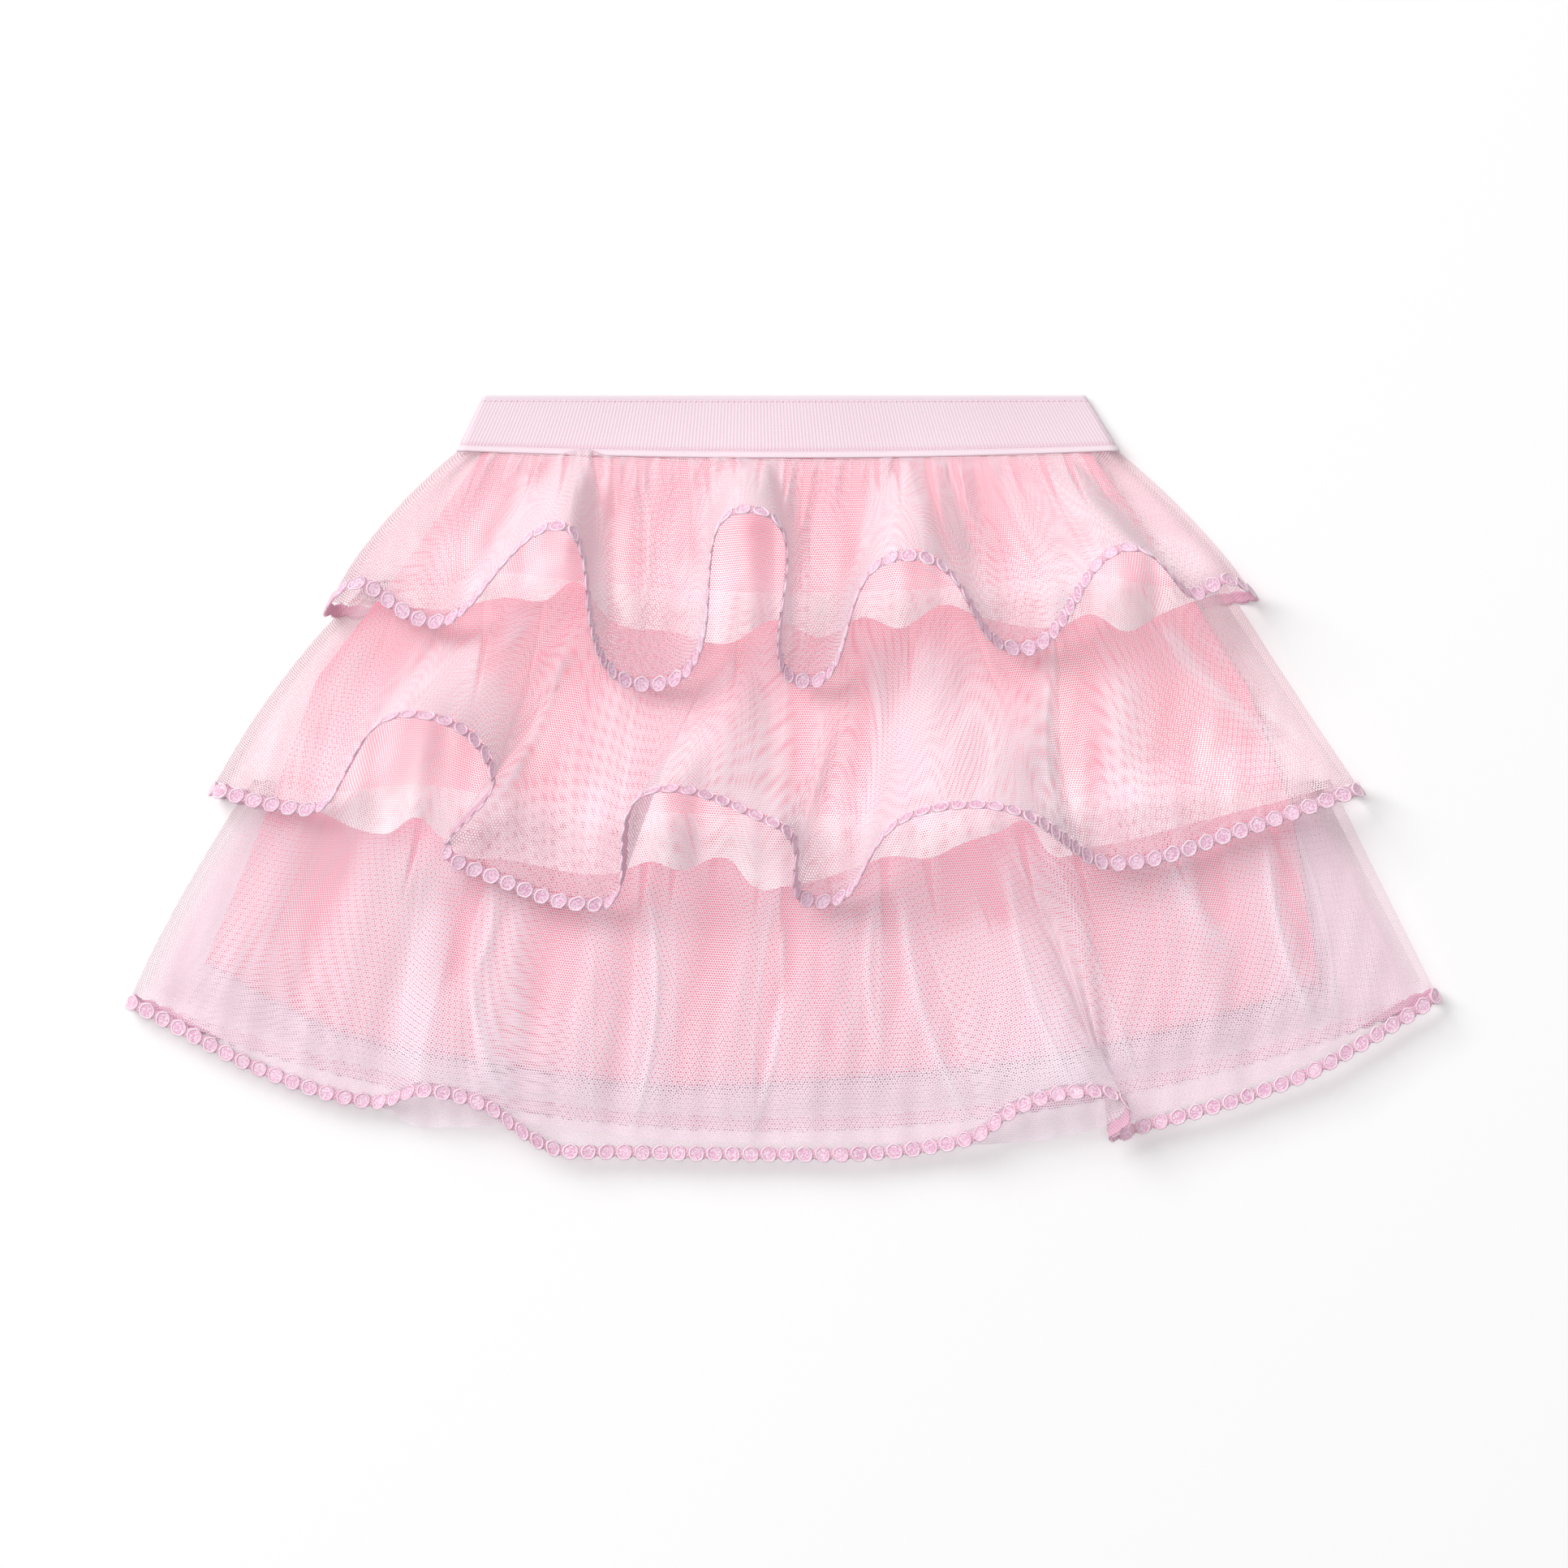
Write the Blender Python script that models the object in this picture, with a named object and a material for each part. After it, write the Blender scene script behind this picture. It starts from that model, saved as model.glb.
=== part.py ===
"""Three-tiered tulle skirt for a small child, laid out flat on its back.

The skirt is an elastic waistband, an opaque lining and three gathered tiers. Each tier is an
outer net, a shorter raw-edged net under it, and an embroidered edging along the outer hem.
Every piece is a closed ring of cloth: its front lies on its back, and the outer rings go round
the inner ones. Lengths are millimetres until the mesh is made. X runs across the skirt, a drop
is the distance below the top edge of the waistband, and Z is height above the surface.
"""
import math
from collections import namedtuple

import bpy
import numpy as np

MILLIMETRE = 0.001

# Walls and clearances
TULLE_WALL = 1.0
LINING_WALL = 1.0
BAND_WALL = 1.6
SEAM_GAP = 0.3
BACK_PITCH = 1.5
FRONT_PITCH = 2.4
LINING_FLOOR_GAP = 0.6
LINING_INNER_GAP = 0.7
NET_OPENING = 0.4
TULLE_OPENING = 1.5
TULLE_OPENING_OVER_SEAM = 0.9
OPENING_SHARE = 0.1

# Waistband: half widths of its two edges and how far the lower edge sags in the middle
BAND_TOP_LEFT, BAND_TOP_RIGHT = -106.0, 107.0
BAND_LOW_LEFT, BAND_LOW_RIGHT = -115.5, 119.0
BAND_HEIGHT = 20.0
BAND_SAG = 2.6
BAND_TOP_FRONT = 3.4
BAND_LOW_FRONT = 7.3
BAND_FRONT_POWER = 1.5
BAND_COLUMNS = 40

# Edging, side folds and the gathers at a seam, whose puffs end at a share of the tier's length
EDGING_WIDTH = 5.6
SIDE_TURN = 5.0
UNDER_INSET = 4.4
UNDER_TURN = 4.6
COLUMNS_PER_GATHER = 3
SEAM_PUFF = 0.45
SEAM_PUFF_END = 0.09
PUFF_FADE_START = 0.12
PUFF_FADE_END = 0.55
LINING_BACK_SHORTER = 3.0

# How far above a lower seam, and below an upper back hem, the cloth starts to lie on other cloth
SEAM_RAMP_START = 20.0
SEAM_RAMP_END = 2.0
BACK_RAMP_START = 1.0
BACK_RAMP_END = 25.0

# How the bottom of the skirt comes down past the lining's hem
SINK = 1.4
SINK_START = 4.0
SINK_END = 16.0

# How far the tier above holds a tier's front down, and how its waves rise past that line
COVER_REACH = 7.0
COVER_EDGING_MARGIN = 4.0
COVER_NET_MARGIN = 3.0
COVER_STEP = 4.0
COVER_HALF_SPAN = 240.0
COVER_SAMPLES = 1200
SHORTEST_FREE_RUN = 12.0
FREE_LIMIT = 1.15
WAVE_POWER = 1.4
TOP_WAVE_START = 1.3
FOLD_START = 0.25
FOLD_FADE = 0.55
CALM_COLUMNS = 3.0
BOW_COLUMNS = 9.0

# Arches of a hem that lift the net under it
ARCH_RISE = 20.0
ARCH_SHARE = 0.40
ARCH_LIFT = 0.24
ARCH_LIFT_POWER = 1.6
ARCH_TOP_WIDTH = 0.3
ARCH_WIDER = 6.0
ARCH_MARGIN = 4.0

# One row for each turn of a wavy hem, from the left side fold to the right one: place across
# and drop of the middle of the edging, rise above the flat cloth, heading in degrees (0 is to
# the right, 90 to the waist), and how far the line runs straight before and after the turn.
Turn = namedtuple("Turn", "across drop rise heading before after")

TOP_HEM = (
    Turn(-161.0, 76.0, 0.0, 60, 4.5, 4.5),
    Turn(-149.0, 67.0, 5.0, 0, 5.0, 7.0),
    Turn(-122.0, 80.5, 1.0, 0, 13.0, 16.0),
    Turn(-78.0, 48.0, 38.0, 0, 17.5, 17.5),
    Turn(-47.5, 102.5, 0.0, 0, 31.5, 36.0),
    Turn(-13.0, 42.5, 42.0, 0, 24.5, 33.0),
    Turn(9.5, 101.5, 0.0, 0, 28.5, 18.5),
    Turn(43.5, 58.0, 32.0, 0, 26.0, 24.5),
    Turn(84.0, 90.0, 0.0, 0, 21.5, 17.5),
    Turn(120.5, 55.5, 34.0, 0, 17.5, 11.5),
    Turn(144.0, 71.0, 6.0, 0, 7.0, 3.5),
    Turn(155.0, 66.0, 9.0, 0, 3.5, 3.5),
    Turn(166.5, 71.0, 0.0, -35, 4.5, 4.5),
)
MIDDLE_HEM = (
    Turn(-201.5, 139.5, 0.0, -5, 4.5, 4.5),
    Turn(-167.0, 146.5, 1.0, 0, 11.5, 16.0),
    Turn(-131.0, 113.5, 30.0, 0, 21.5, 20.0),
    Turn(-101.5, 136.5, 22.0, -88, 10.0, 8.0),
    Turn(-118.5, 160.0, 3.0, -85, 6.5, 4.0),
    Turn(-107.5, 168.0, 1.0, -20, 4.5, 17.5),
    Turn(-66.0, 180.0, 0.0, 0, 17.5, 21.5),
    Turn(-40.0, 139.5, 32.0, 0, 27.5, 13.0),
    Turn(-4.0, 151.0, 22.0, -22, 13.0, 6.0),
    Turn(4.5, 163.5, 10.0, -95, 6.5, 6.5),
    Turn(13.0, 179.0, 0.0, 0, 11.0, 24.5),
    Turn(66.5, 145.0, 30.0, 0, 47.5, 27.5),
    Turn(116.0, 165.5, 0.0, 0, 14.5, 17.5),
    Turn(159.5, 154.5, 0.0, 17, 14.5, 14.5),
    Turn(204.0, 139.5, 0.0, 12, 8.5, 8.5),
)
BOTTOM_HEM = (
    Turn(-231.5, 214.5, 0.0, -20, 4.5, 4.5),
    Turn(-190.0, 236.0, 0.0, -25, 13.0, 13.0),
    Turn(-143.5, 250.0, 0.0, -3, 14.5, 5.0),
    Turn(-127.5, 245.5, 8.0, 0, 5.0, 10.0),
    Turn(-100.5, 253.5, 6.0, -42, 4.5, 6.0),
    Turn(-75.5, 267.5, 0.0, 0, 8.5, 23.0),
    Turn(-6.0, 268.5, 0.0, 0, 23.0, 23.0),
    Turn(47.5, 266.5, 0.0, 8, 17.5, 10.0),
    Turn(72.5, 259.0, 5.0, 42, 6.0, 6.0),
    Turn(108.0, 245.5, 13.0, 0, 20.0, 7.0),
    Turn(121.5, 253.5, 10.0, -90, 6.0, 4.0),
    Turn(115.0, 260.5, 4.5, -130, 2.5, 1.5),
    Turn(117.0, 261.5, 1.0, -8, 1.5, 3.0),
    Turn(127.0, 258.5, 1.0, 14, 4.0, 11.5),
    Turn(185.0, 240.0, 1.0, 25, 17.5, 11.5),
    Turn(231.5, 212.0, 0.0, 40, 8.5, 8.5),
)

# Plain edges that are nearly straight: place across and drop
Edge = namedtuple("Edge", "across drop")

TOP_UNDER_HEM = (
    Edge(-157.0, 71.5),
    Edge(-105.0, 76.5),
    Edge(-47.5, 82.5),
    Edge(42.0, 84.0),
    Edge(117.0, 80.5),
    Edge(164.5, 69.5),
)
MIDDLE_UNDER_HEM = (
    Edge(-199.5, 137.5),
    Edge(-148.0, 156.0),
    Edge(-99.0, 163.5),
    Edge(-30.0, 167.5),
    Edge(27.5, 165.5),
    Edge(93.5, 160.5),
    Edge(148.5, 151.0),
    Edge(201.0, 137.5),
)
BOTTOM_UNDER_HEM = (
    Edge(-229.5, 212.5),
    Edge(-191.5, 233.0),
    Edge(-148.0, 252.0),
    Edge(-116.5, 259.0),
    Edge(-53.0, 263.0),
    Edge(27.5, 264.5),
    Edge(96.5, 263.0),
    Edge(126.0, 256.0),
    Edge(183.0, 237.0),
    Edge(229.0, 210.0),
)
LINING_HEM = (
    Edge(-203.5, 201.0),
    Edge(-155.0, 226.0),
    Edge(-100.0, 237.0),
    Edge(-41.5, 244.5),
    Edge(26.5, 241.5),
    Edge(96.0, 234.0),
    Edge(149.0, 221.5),
    Edge(189.5, 208.5),
)

# The lining's outline, a row for each height where its sides change direction
Section = namedtuple("Section", "drop left right")

LINING_SIDES = (
    Section(20.0, -105.0, 108.0),
    Section(67.0, -136.5, 141.0),
    Section(104.5, -165.0, 165.0),
    Section(147.5, -180.0, 180.0),
    Section(208.0, -204.5, 190.0),
)

# One row for each tier: its hems, the ends of its seam, the seam's drop at the sides and how far
# it sags between them, the outward bow of the two sides, the length of its back, the height of
# its gathers at the seam and of its softer folds, the share of its length where the waves start
# to lean over, and how far apart its columns are along the hem
Tier = namedtuple(
    "Tier",
    "name hem under_hem left right seam_drop sag bow_left bow_right back_sag puff fold lean spacing",
)

TIERS = (
    Tier(
        "upper", TOP_HEM, TOP_UNDER_HEM, -115.5, 119.0, 20.0, 2.6, 5.5, 3.7, 7.0,
        puff=2.2, fold=1.6, lean=0.0, spacing=8.0,
    ),
    Tier(
        "middle", MIDDLE_HEM, MIDDLE_UNDER_HEM, -145.5, 155.5, 65.5, 14.5, 5.2, 0.0, 28.0,
        puff=0.5, fold=3.0, lean=0.2, spacing=9.0,
    ),
    Tier(
        "lower", BOTTOM_HEM, BOTTOM_UNDER_HEM, -187.0, 193.5, 136.0, 23.0, 2.6, 0.0, 45.0,
        puff=0.5, fold=2.6, lean=0.75, spacing=6.8,
    ),
)

# Rows down each ring, as shares of its length, and the columns round it. The last column before
# a side fold is an edge away from it, in columns of a wavy hem or as a share of the width.
TIER_ROWS = (0.0, 0.09, 0.25, 0.42, 0.62, 0.82, 1.0)
BACK_COLUMNS = 12
UNDER_COLUMNS = 30
LINING_ROWS = 12
LINING_COLUMNS = 20
LINING_BACK_COLUMNS = 10
TULLE_EDGE = 0.3
TIER_BACK_EDGE = 0.022
UNDER_EDGE = 0.006
LINING_EDGE = 0.0022
LINING_BACK_EDGE = 0.0045
BAND_EDGE = 0.004
BAND_BACK_EDGE = 0.012
FOLD_EDGE_SHARE = 0.3

# One row for each row of points down the waistband: its share of the height and the swell there
BandRow = namedtuple("BandRow", "share swell")

BAND_ROWS = (
    BandRow(0.0, 0.0),
    BandRow(0.10, 0.1),
    BandRow(0.16, 0.35),
    BandRow(0.84, 0.35),
    BandRow(0.92, 0.0),
    BandRow(1.0, 0.0),
)

# Two ripples along the hem whose product makes the soft folds uneven: the angle that each turns
# in a column, where it starts, and how far the start moves on from tier to tier
Ripple = namedtuple("Ripple", "turn start tier_step floor")

FOLD_RIPPLE = Ripple(0.93, 0.0, 1.7, 0.0)
DEPTH_RIPPLE = Ripple(0.41, 2.3, 1.0, 0.45)

Finish = namedtuple("Finish", "colour roughness")

TULLE_FINISH = Finish((0.93, 0.72, 0.78, 1.0), 0.75)
NET_FINISH = Finish((0.94, 0.76, 0.81, 1.0), 0.78)
LINING_FINISH = Finish((0.93, 0.56, 0.66, 1.0), 0.70)
BAND_FINISH = Finish((0.95, 0.79, 0.84, 1.0), 0.68)
EDGING_FINISH = Finish((0.96, 0.82, 0.87, 1.0), 0.50)


def ramp(start, end, value):
    """Return 0 below start, 1 above end, and a smooth rise between them."""
    share = np.clip((value - start) / (end - start), 0.0, 1.0)
    return share * share * (3.0 - 2.0 * share)


def edge_drop(edges, across):
    """Return the drop of a plain edge at each place across, rounded between its points."""
    places = np.array([edge.across for edge in edges])
    drops = np.array([edge.drop for edge in edges])
    slopes = np.gradient(drops, places)
    across = np.clip(across, places[0], places[-1])
    index = np.clip(np.searchsorted(places, across) - 1, 0, len(places) - 2)
    width = places[index + 1] - places[index]
    share = (across - places[index]) / width
    start = drops[index] * (1 + 2 * share) * (1 - share) ** 2
    end = drops[index + 1] * (3 - 2 * share) * share ** 2
    lean = (slopes[index] * (1 - share) - slopes[index + 1] * share) * share * (1 - share) * width
    return start + end + lean


class WavyHem:
    """The line of a wavy hem, read by column; every turn falls on a whole column."""

    SAMPLES = 40

    def __init__(self, turns, spacing):
        self.runs = []
        self.first_columns = [0]
        for here, there in zip(turns[:-1], turns[1:]):
            run = self.trace(here, there)
            self.runs.append(run)
            count = max(2, int(round(run[-1, 3] / spacing)))
            self.first_columns.append(self.first_columns[-1] + count)
        self.columns = self.first_columns[-1]
        self.fine = np.linspace(0.0, self.columns, 12 * self.columns + 1)
        across = self.at(self.fine)[:, 0]
        forward = np.maximum.accumulate(across)
        backward = np.minimum.accumulate(across[::-1])[::-1]
        self.upright = (forward + backward) / 2

    def trace(self, here, there):
        """Return across, drop, rise and running length along the run between two turns."""
        share = np.linspace(0.0, 1.0, self.SAMPLES + 1)[:, None]
        lead = [math.cos(math.radians(here.heading)), -math.sin(math.radians(here.heading))]
        trail = [math.cos(math.radians(there.heading)), -math.sin(math.radians(there.heading))]
        start = np.array([here.across, here.drop])
        end = np.array([there.across, there.drop])
        first = start + here.after * np.array(lead)
        last = end - there.before * np.array(trail)
        plan = start * (1 - share) ** 3 + 3 * first * share * (1 - share) ** 2
        plan = plan + 3 * last * share ** 2 * (1 - share) + end * share ** 3
        rise = here.rise + (there.rise - here.rise) * ramp(0.0, 1.0, share)
        line = np.hstack([plan, rise])
        steps = np.linalg.norm(np.diff(line, axis=0), axis=1)
        length = np.concatenate([[0.0], np.cumsum(steps)])[:, None]
        return np.hstack([line, length])

    def at(self, column):
        """Return across, drop and rise at each column."""
        column = np.asarray(column, dtype=float)
        place = np.zeros(column.shape + (3,))
        bounds = zip(self.first_columns[:-1], self.first_columns[1:], self.runs)
        for first, last, run in bounds:
            inside = (column >= first) & (column <= last)
            length = (column[inside] - first) / (last - first) * run[-1, 3]
            for axis in range(3):
                place[inside, axis] = np.interp(length, run[:, 3], run[:, axis])
        return place


HEMS = [WavyHem(tier.hem, tier.spacing) for tier in TIERS]


def seam_drop(level, across):
    """Return the drop of a tier's seam, which sags towards the middle."""
    tier = TIERS[level]
    middle = (tier.left + tier.right) / 2
    share = (across - middle) / ((tier.right - tier.left) / 2)
    return tier.seam_drop + tier.sag * np.clip(1.0 - share ** 2, 0.0, 1.0)


def back_hem_drop(level, across):
    """Return the drop of the middle of the edging on a tier's back."""
    tier = TIERS[level]
    left = tier.hem[0]
    right = tier.hem[-1]
    share = (across - left.across) / (right.across - left.across)
    chord = left.drop + (right.drop - left.drop) * share
    return chord + tier.back_sag * np.clip(4 * share * (1 - share), 0.0, 1.0)


def covered_drop(level, across):
    """Return how far down the tier above hides this tier's front at each place across."""
    hem = HEMS[level - 1].at(np.linspace(0.0, HEMS[level - 1].columns, COVER_SAMPLES))
    margin = EDGING_WIDTH / 2 + COVER_EDGING_MARGIN
    nodes = np.arange(-COVER_HALF_SPAN, COVER_HALF_SPAN + 1.0, COVER_STEP)
    under = edge_drop(TIERS[level - 1].under_hem, nodes) + COVER_NET_MARGIN
    lowest = []
    for node, plain in zip(nodes, under):
        near = hem[np.abs(hem[:, 0] - node) < COVER_REACH, 1]
        lowest.append(max(near.max() + margin, plain) if len(near) else plain)
    blurred = np.convolve(np.pad(lowest, 2, mode="edge"), np.ones(5) / 5, mode="valid")
    return np.interp(across, nodes, np.maximum(blurred, lowest))


def bump_under(level, across, drop):
    """Return 1 where the top of a tier lies between this cloth and the lining, else 0."""
    start = seam_drop(level, across)
    return ramp(start - SEAM_RAMP_START, start - SEAM_RAMP_END, drop)


def back_bump(level, across, drop):
    """Return 1 where the back of the tier above lies under this tier's back, else 0."""
    hem = back_hem_drop(level - 1, across) + EDGING_WIDTH / 2
    past = ramp(hem + BACK_RAMP_START, hem + BACK_RAMP_END, drop)
    return bump_under(level, across, drop) * (1.0 - past)


def lining_back(across, drop):
    """Return the height of the middle of the lining's back wall."""
    tiers = 1.0 + back_bump(1, across, drop) + back_bump(2, across, drop)
    return TULLE_WALL / 2 + 2 * BACK_PITCH * tiers + LINING_FLOOR_GAP


def lining_front(across, drop):
    """Return the height of the middle of the lining's front wall."""
    return lining_back(across, drop) + LINING_WALL + LINING_INNER_GAP


def net_front(level, across, drop, share):
    """Return the height of a tier's under net where nothing lifts it."""
    seam = LINING_WALL / 2 + SEAM_GAP + TULLE_WALL / 2
    lift = seam + NET_OPENING * ramp(0.0, OPENING_SHARE, share)
    if level < 2:
        lift = lift + 2 * FRONT_PITCH * bump_under(level + 1, across, drop)
    floor = lining_front(across, drop)
    if level == 2:
        past = drop - edge_drop(LINING_HEM, across)
        floor = floor - SINK * ramp(SINK_START, SINK_END, past)
    return floor + lift


def tulle_front(level, across, drop, share):
    """Return the height of a tier's outer net where no fold lifts it."""
    opening = SEAM_GAP + TULLE_WALL + TULLE_OPENING * ramp(0.0, OPENING_SHARE, share)
    if level < 2:
        opening = opening + TULLE_OPENING_OVER_SEAM * bump_under(level + 1, across, drop)
    return net_front(level, across, drop, share) + opening


def tier_back(level, across, drop, inner):
    """Return the height of a tier's back wall, the outer net's or the one inside it."""
    height = TULLE_WALL / 2 + (BACK_PITCH if inner else 0.0)
    if level:
        height = height + 2 * BACK_PITCH * back_bump(level, across, drop)
    return height


def side_round(inset, radius):
    """Return 0 at a side fold and 1 a radius inside it, along a quarter circle."""
    share = np.clip(inset / radius, 0.0, 1.0)
    return np.sqrt(1.0 - (1.0 - share) ** 2)


def gather(column):
    """Return 0 in the crease of a gather and 1 on its puff."""
    return 0.5 - 0.5 * np.cos(2 * math.pi * column / COLUMNS_PER_GATHER)


def ripple_height(ripple, column, level):
    """Return a ripple's height, from its floor to 1, at each column of a tier."""
    angle = ripple.turn * column + ripple.start + ripple.tier_step * level
    return ripple.floor + (1.0 - ripple.floor) * (0.5 + 0.5 * np.sin(angle))


def soft_folds(column, level):
    """Return the uneven folds, from 0 to 1, that run down a tier between its waves."""
    fold = ripple_height(FOLD_RIPPLE, column, level)
    return fold * ripple_height(DEPTH_RIPPLE, column, level)


def plan_front(level, column, share):
    """Return across and drop of the outer net's front."""
    tier = TIERS[level]
    hem = HEMS[level]
    place = hem.at(column)
    part = column / hem.columns
    top = tier.left + (tier.right - tier.left) * part
    bow = 4 * share * (1 - share)
    bow_left = tier.bow_left * np.clip(1 - column / BOW_COLUMNS, 0, 1) ** 2
    bow_right = tier.bow_right * np.clip(1 - (hem.columns - column) / BOW_COLUMNS, 0, 1) ** 2
    upright = np.interp(column, hem.fine, hem.upright)
    end = upright + (place[..., 0] - upright) * ramp(tier.lean, 1.0, share)
    across = top + (end - top) * share + bow * (bow_right - bow_left)
    start = seam_drop(level, top)
    drop = start + (place[..., 1] - start) * share
    return across, drop, place


def front_point(level, column, share):
    """Return across, drop and height on the outer net's front; share 1 is mid edging."""
    tier = TIERS[level]
    hem = HEMS[level]
    across, drop, place = plan_front(level, column, share)
    flat = tulle_front(level, across, drop, share)
    if level == 0:
        free = share
        wave = place[..., 2] * free * (TOP_WAVE_START + (1.0 - TOP_WAVE_START) * free)
    else:
        cover = covered_drop(level, across)
        run = np.maximum(place[..., 1] - cover, SHORTEST_FREE_RUN)
        free = np.clip((drop - cover) / run, 0.0, FREE_LIMIT)
        wave = place[..., 2] * free ** WAVE_POWER
    crease = SEAM_PUFF + (1.0 - SEAM_PUFF) * ramp(0.0, SEAM_PUFF_END, share)
    fade = 1.0 - ramp(PUFF_FADE_START, PUFF_FADE_END, share)
    puff = tier.puff * gather(column) * crease * fade
    window = ramp(0.0, FOLD_START, free) * (1.0 - FOLD_FADE * ramp(0.5, 1.0, free))
    calm = ramp(0.0, CALM_COLUMNS, column) * ramp(0.0, CALM_COLUMNS, hem.columns - column)
    folds = tier.fold * soft_folds(column, level) * window * calm
    height = flat + wave + puff * calm + folds
    left = plan_front(level, np.zeros_like(column), share)[0]
    right = plan_front(level, np.full_like(column, hem.columns), share)[0]
    inset = np.minimum(across - left, right - across)
    side = (flat + tier_back(level, across, drop, False)) / 2
    turn = side_round(np.maximum(inset, 0.0), SIDE_TURN)
    return np.stack([across, drop, side + (height - side) * turn], axis=-1)


def back_point(level, part, share):
    """Return across, drop and height on the outer net's back; part runs from left to right."""
    tier = TIERS[level]
    columns = float(HEMS[level].columns)
    ends = np.full_like(part, 0.0)
    left, left_drop, _ = plan_front(level, ends, share)
    right, right_drop, _ = plan_front(level, ends + columns, share)
    across = left + (right - left) * part
    top = tier.left + (tier.right - tier.left) * part
    hem_across = tier.hem[0].across + (tier.hem[-1].across - tier.hem[0].across) * part
    start = seam_drop(level, top)
    drop = start + (back_hem_drop(level, hem_across) - start) * share
    flat = tulle_front(level, across, drop, share)
    low = tier_back(level, across, drop, False)
    side = (flat + low) / 2
    turn = side_round(np.minimum(across - left, right - across), SIDE_TURN)
    return np.stack([across, drop, side + (low - side) * turn], axis=-1)


def side_line(level, drop, column):
    """Return the place across of an outer net's side fold at a drop."""
    tier = TIERS[level]
    corner = tier.hem[0] if column == 0 else tier.hem[-1]
    top = tier.left if column == 0 else tier.right
    start = seam_drop(level, top)
    share = np.clip((drop - start) / (corner.drop - start), 0.0, 1.0)
    return plan_front(level, np.full_like(drop, column), share)[0]


def under_plan(level, part, share, back):
    """Return across and drop of a tier's under net and of its left and right side folds."""
    tier = TIERS[level]
    hem_left = tier.under_hem[0].across
    hem_right = tier.under_hem[-1].across
    top = tier.left + (tier.right - tier.left) * part
    start = seam_drop(level, top)
    hem_across = hem_left + (hem_right - hem_left) * part
    end = edge_drop(tier.under_hem, hem_across)
    if back:
        end = np.minimum(end, back_hem_drop(level, hem_across) - EDGING_WIDTH)
    drop = start + (end - start) * share
    sides = seam_drop(level, tier.left) + (tier.under_hem[0].drop - tier.seam_drop) * share
    left = side_line(level, sides, 0) + UNDER_INSET
    sides = seam_drop(level, tier.right) + (tier.under_hem[-1].drop - tier.seam_drop) * share
    right = side_line(level, sides, HEMS[level].columns) - UNDER_INSET
    return left + (right - left) * part, drop, left, right


def arch_lift(level, across, drop):
    """Return how far the under net is lifted inside the arches of the outer hem."""
    tier = TIERS[level]
    hem = HEMS[level]
    lift = np.zeros_like(across)
    cover = covered_drop(level, across) if level else seam_drop(level, across)
    for index in range(1, len(tier.hem) - 1):
        before, crest, after = tier.hem[index - 1:index + 2]
        if crest.rise < ARCH_RISE or crest.rise < max(before.rise, after.rise):
            continue
        top = tier.left + (tier.right - tier.left) * hem.first_columns[index] / hem.columns
        start = seam_drop(level, top)
        reach = np.clip((drop - start) / (crest.drop - start), 0.0, 1.0)
        middle = top + (crest.across - top) * reach
        nearest = min(crest.across - before.across, abs(after.across - crest.across) + ARCH_WIDER)
        half = ARCH_SHARE * nearest * (ARCH_TOP_WIDTH + (1.0 - ARCH_TOP_WIDTH) * reach)
        inside = np.clip(1.0 - ((across - middle) / half) ** 2, 0.0, 1.0)
        run = np.maximum(crest.drop + ARCH_MARGIN - cover, SHORTEST_FREE_RUN)
        free = np.clip((drop - cover) / run, 0.0, 1.0)
        lift = lift + ARCH_LIFT * crest.rise * inside ** 2 * free ** ARCH_LIFT_POWER
    return lift


def under_point(level, part, share, back):
    """Return across, drop and height on a tier's under net."""
    across, drop, left, right = under_plan(level, part, share, back)
    flat = net_front(level, across, drop, share)
    low = tier_back(level, across, drop, True)
    side = (flat + low) / 2
    turn = side_round(np.minimum(across - left, right - across), UNDER_TURN)
    if back:
        return np.stack([across, drop, side + (low - side) * turn], axis=-1)
    height = flat + arch_lift(level, across, drop)
    return np.stack([across, drop, side + (height - side) * turn], axis=-1)


def lining_sides(drop):
    """Return the places of the lining's two sides at a drop."""
    drops = [section.drop for section in LINING_SIDES]
    left = np.interp(drop, drops, [section.left for section in LINING_SIDES])
    right = np.interp(drop, drops, [section.right for section in LINING_SIDES])
    return left, right


def lining_point(part, share, back):
    """Return across, drop and height on the lining."""
    top = LINING_SIDES[0].left + (LINING_SIDES[0].right - LINING_SIDES[0].left) * part
    start = seam_drop(0, top)
    hem_across = LINING_HEM[0].across + (LINING_HEM[-1].across - LINING_HEM[0].across) * part
    end = edge_drop(LINING_HEM, hem_across)
    if back:
        end = end - LINING_BACK_SHORTER * np.sin(math.pi * part)
    drop = start + (end - start) * share
    side_drop = LINING_SIDES[0].drop + (LINING_SIDES[-1].drop - LINING_SIDES[0].drop) * share
    left, right = lining_sides(side_drop)
    across = left + (right - left) * part
    low = lining_back(across, drop)
    high = lining_front(across, drop)
    radius = (LINING_WALL + LINING_INNER_GAP) / 2
    turn = side_round(np.minimum(across - left, right - across), radius)
    reach = (low - high) / 2 if back else (high - low) / 2
    return np.stack([across, drop, (low + high) / 2 + reach * turn], axis=-1)


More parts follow.
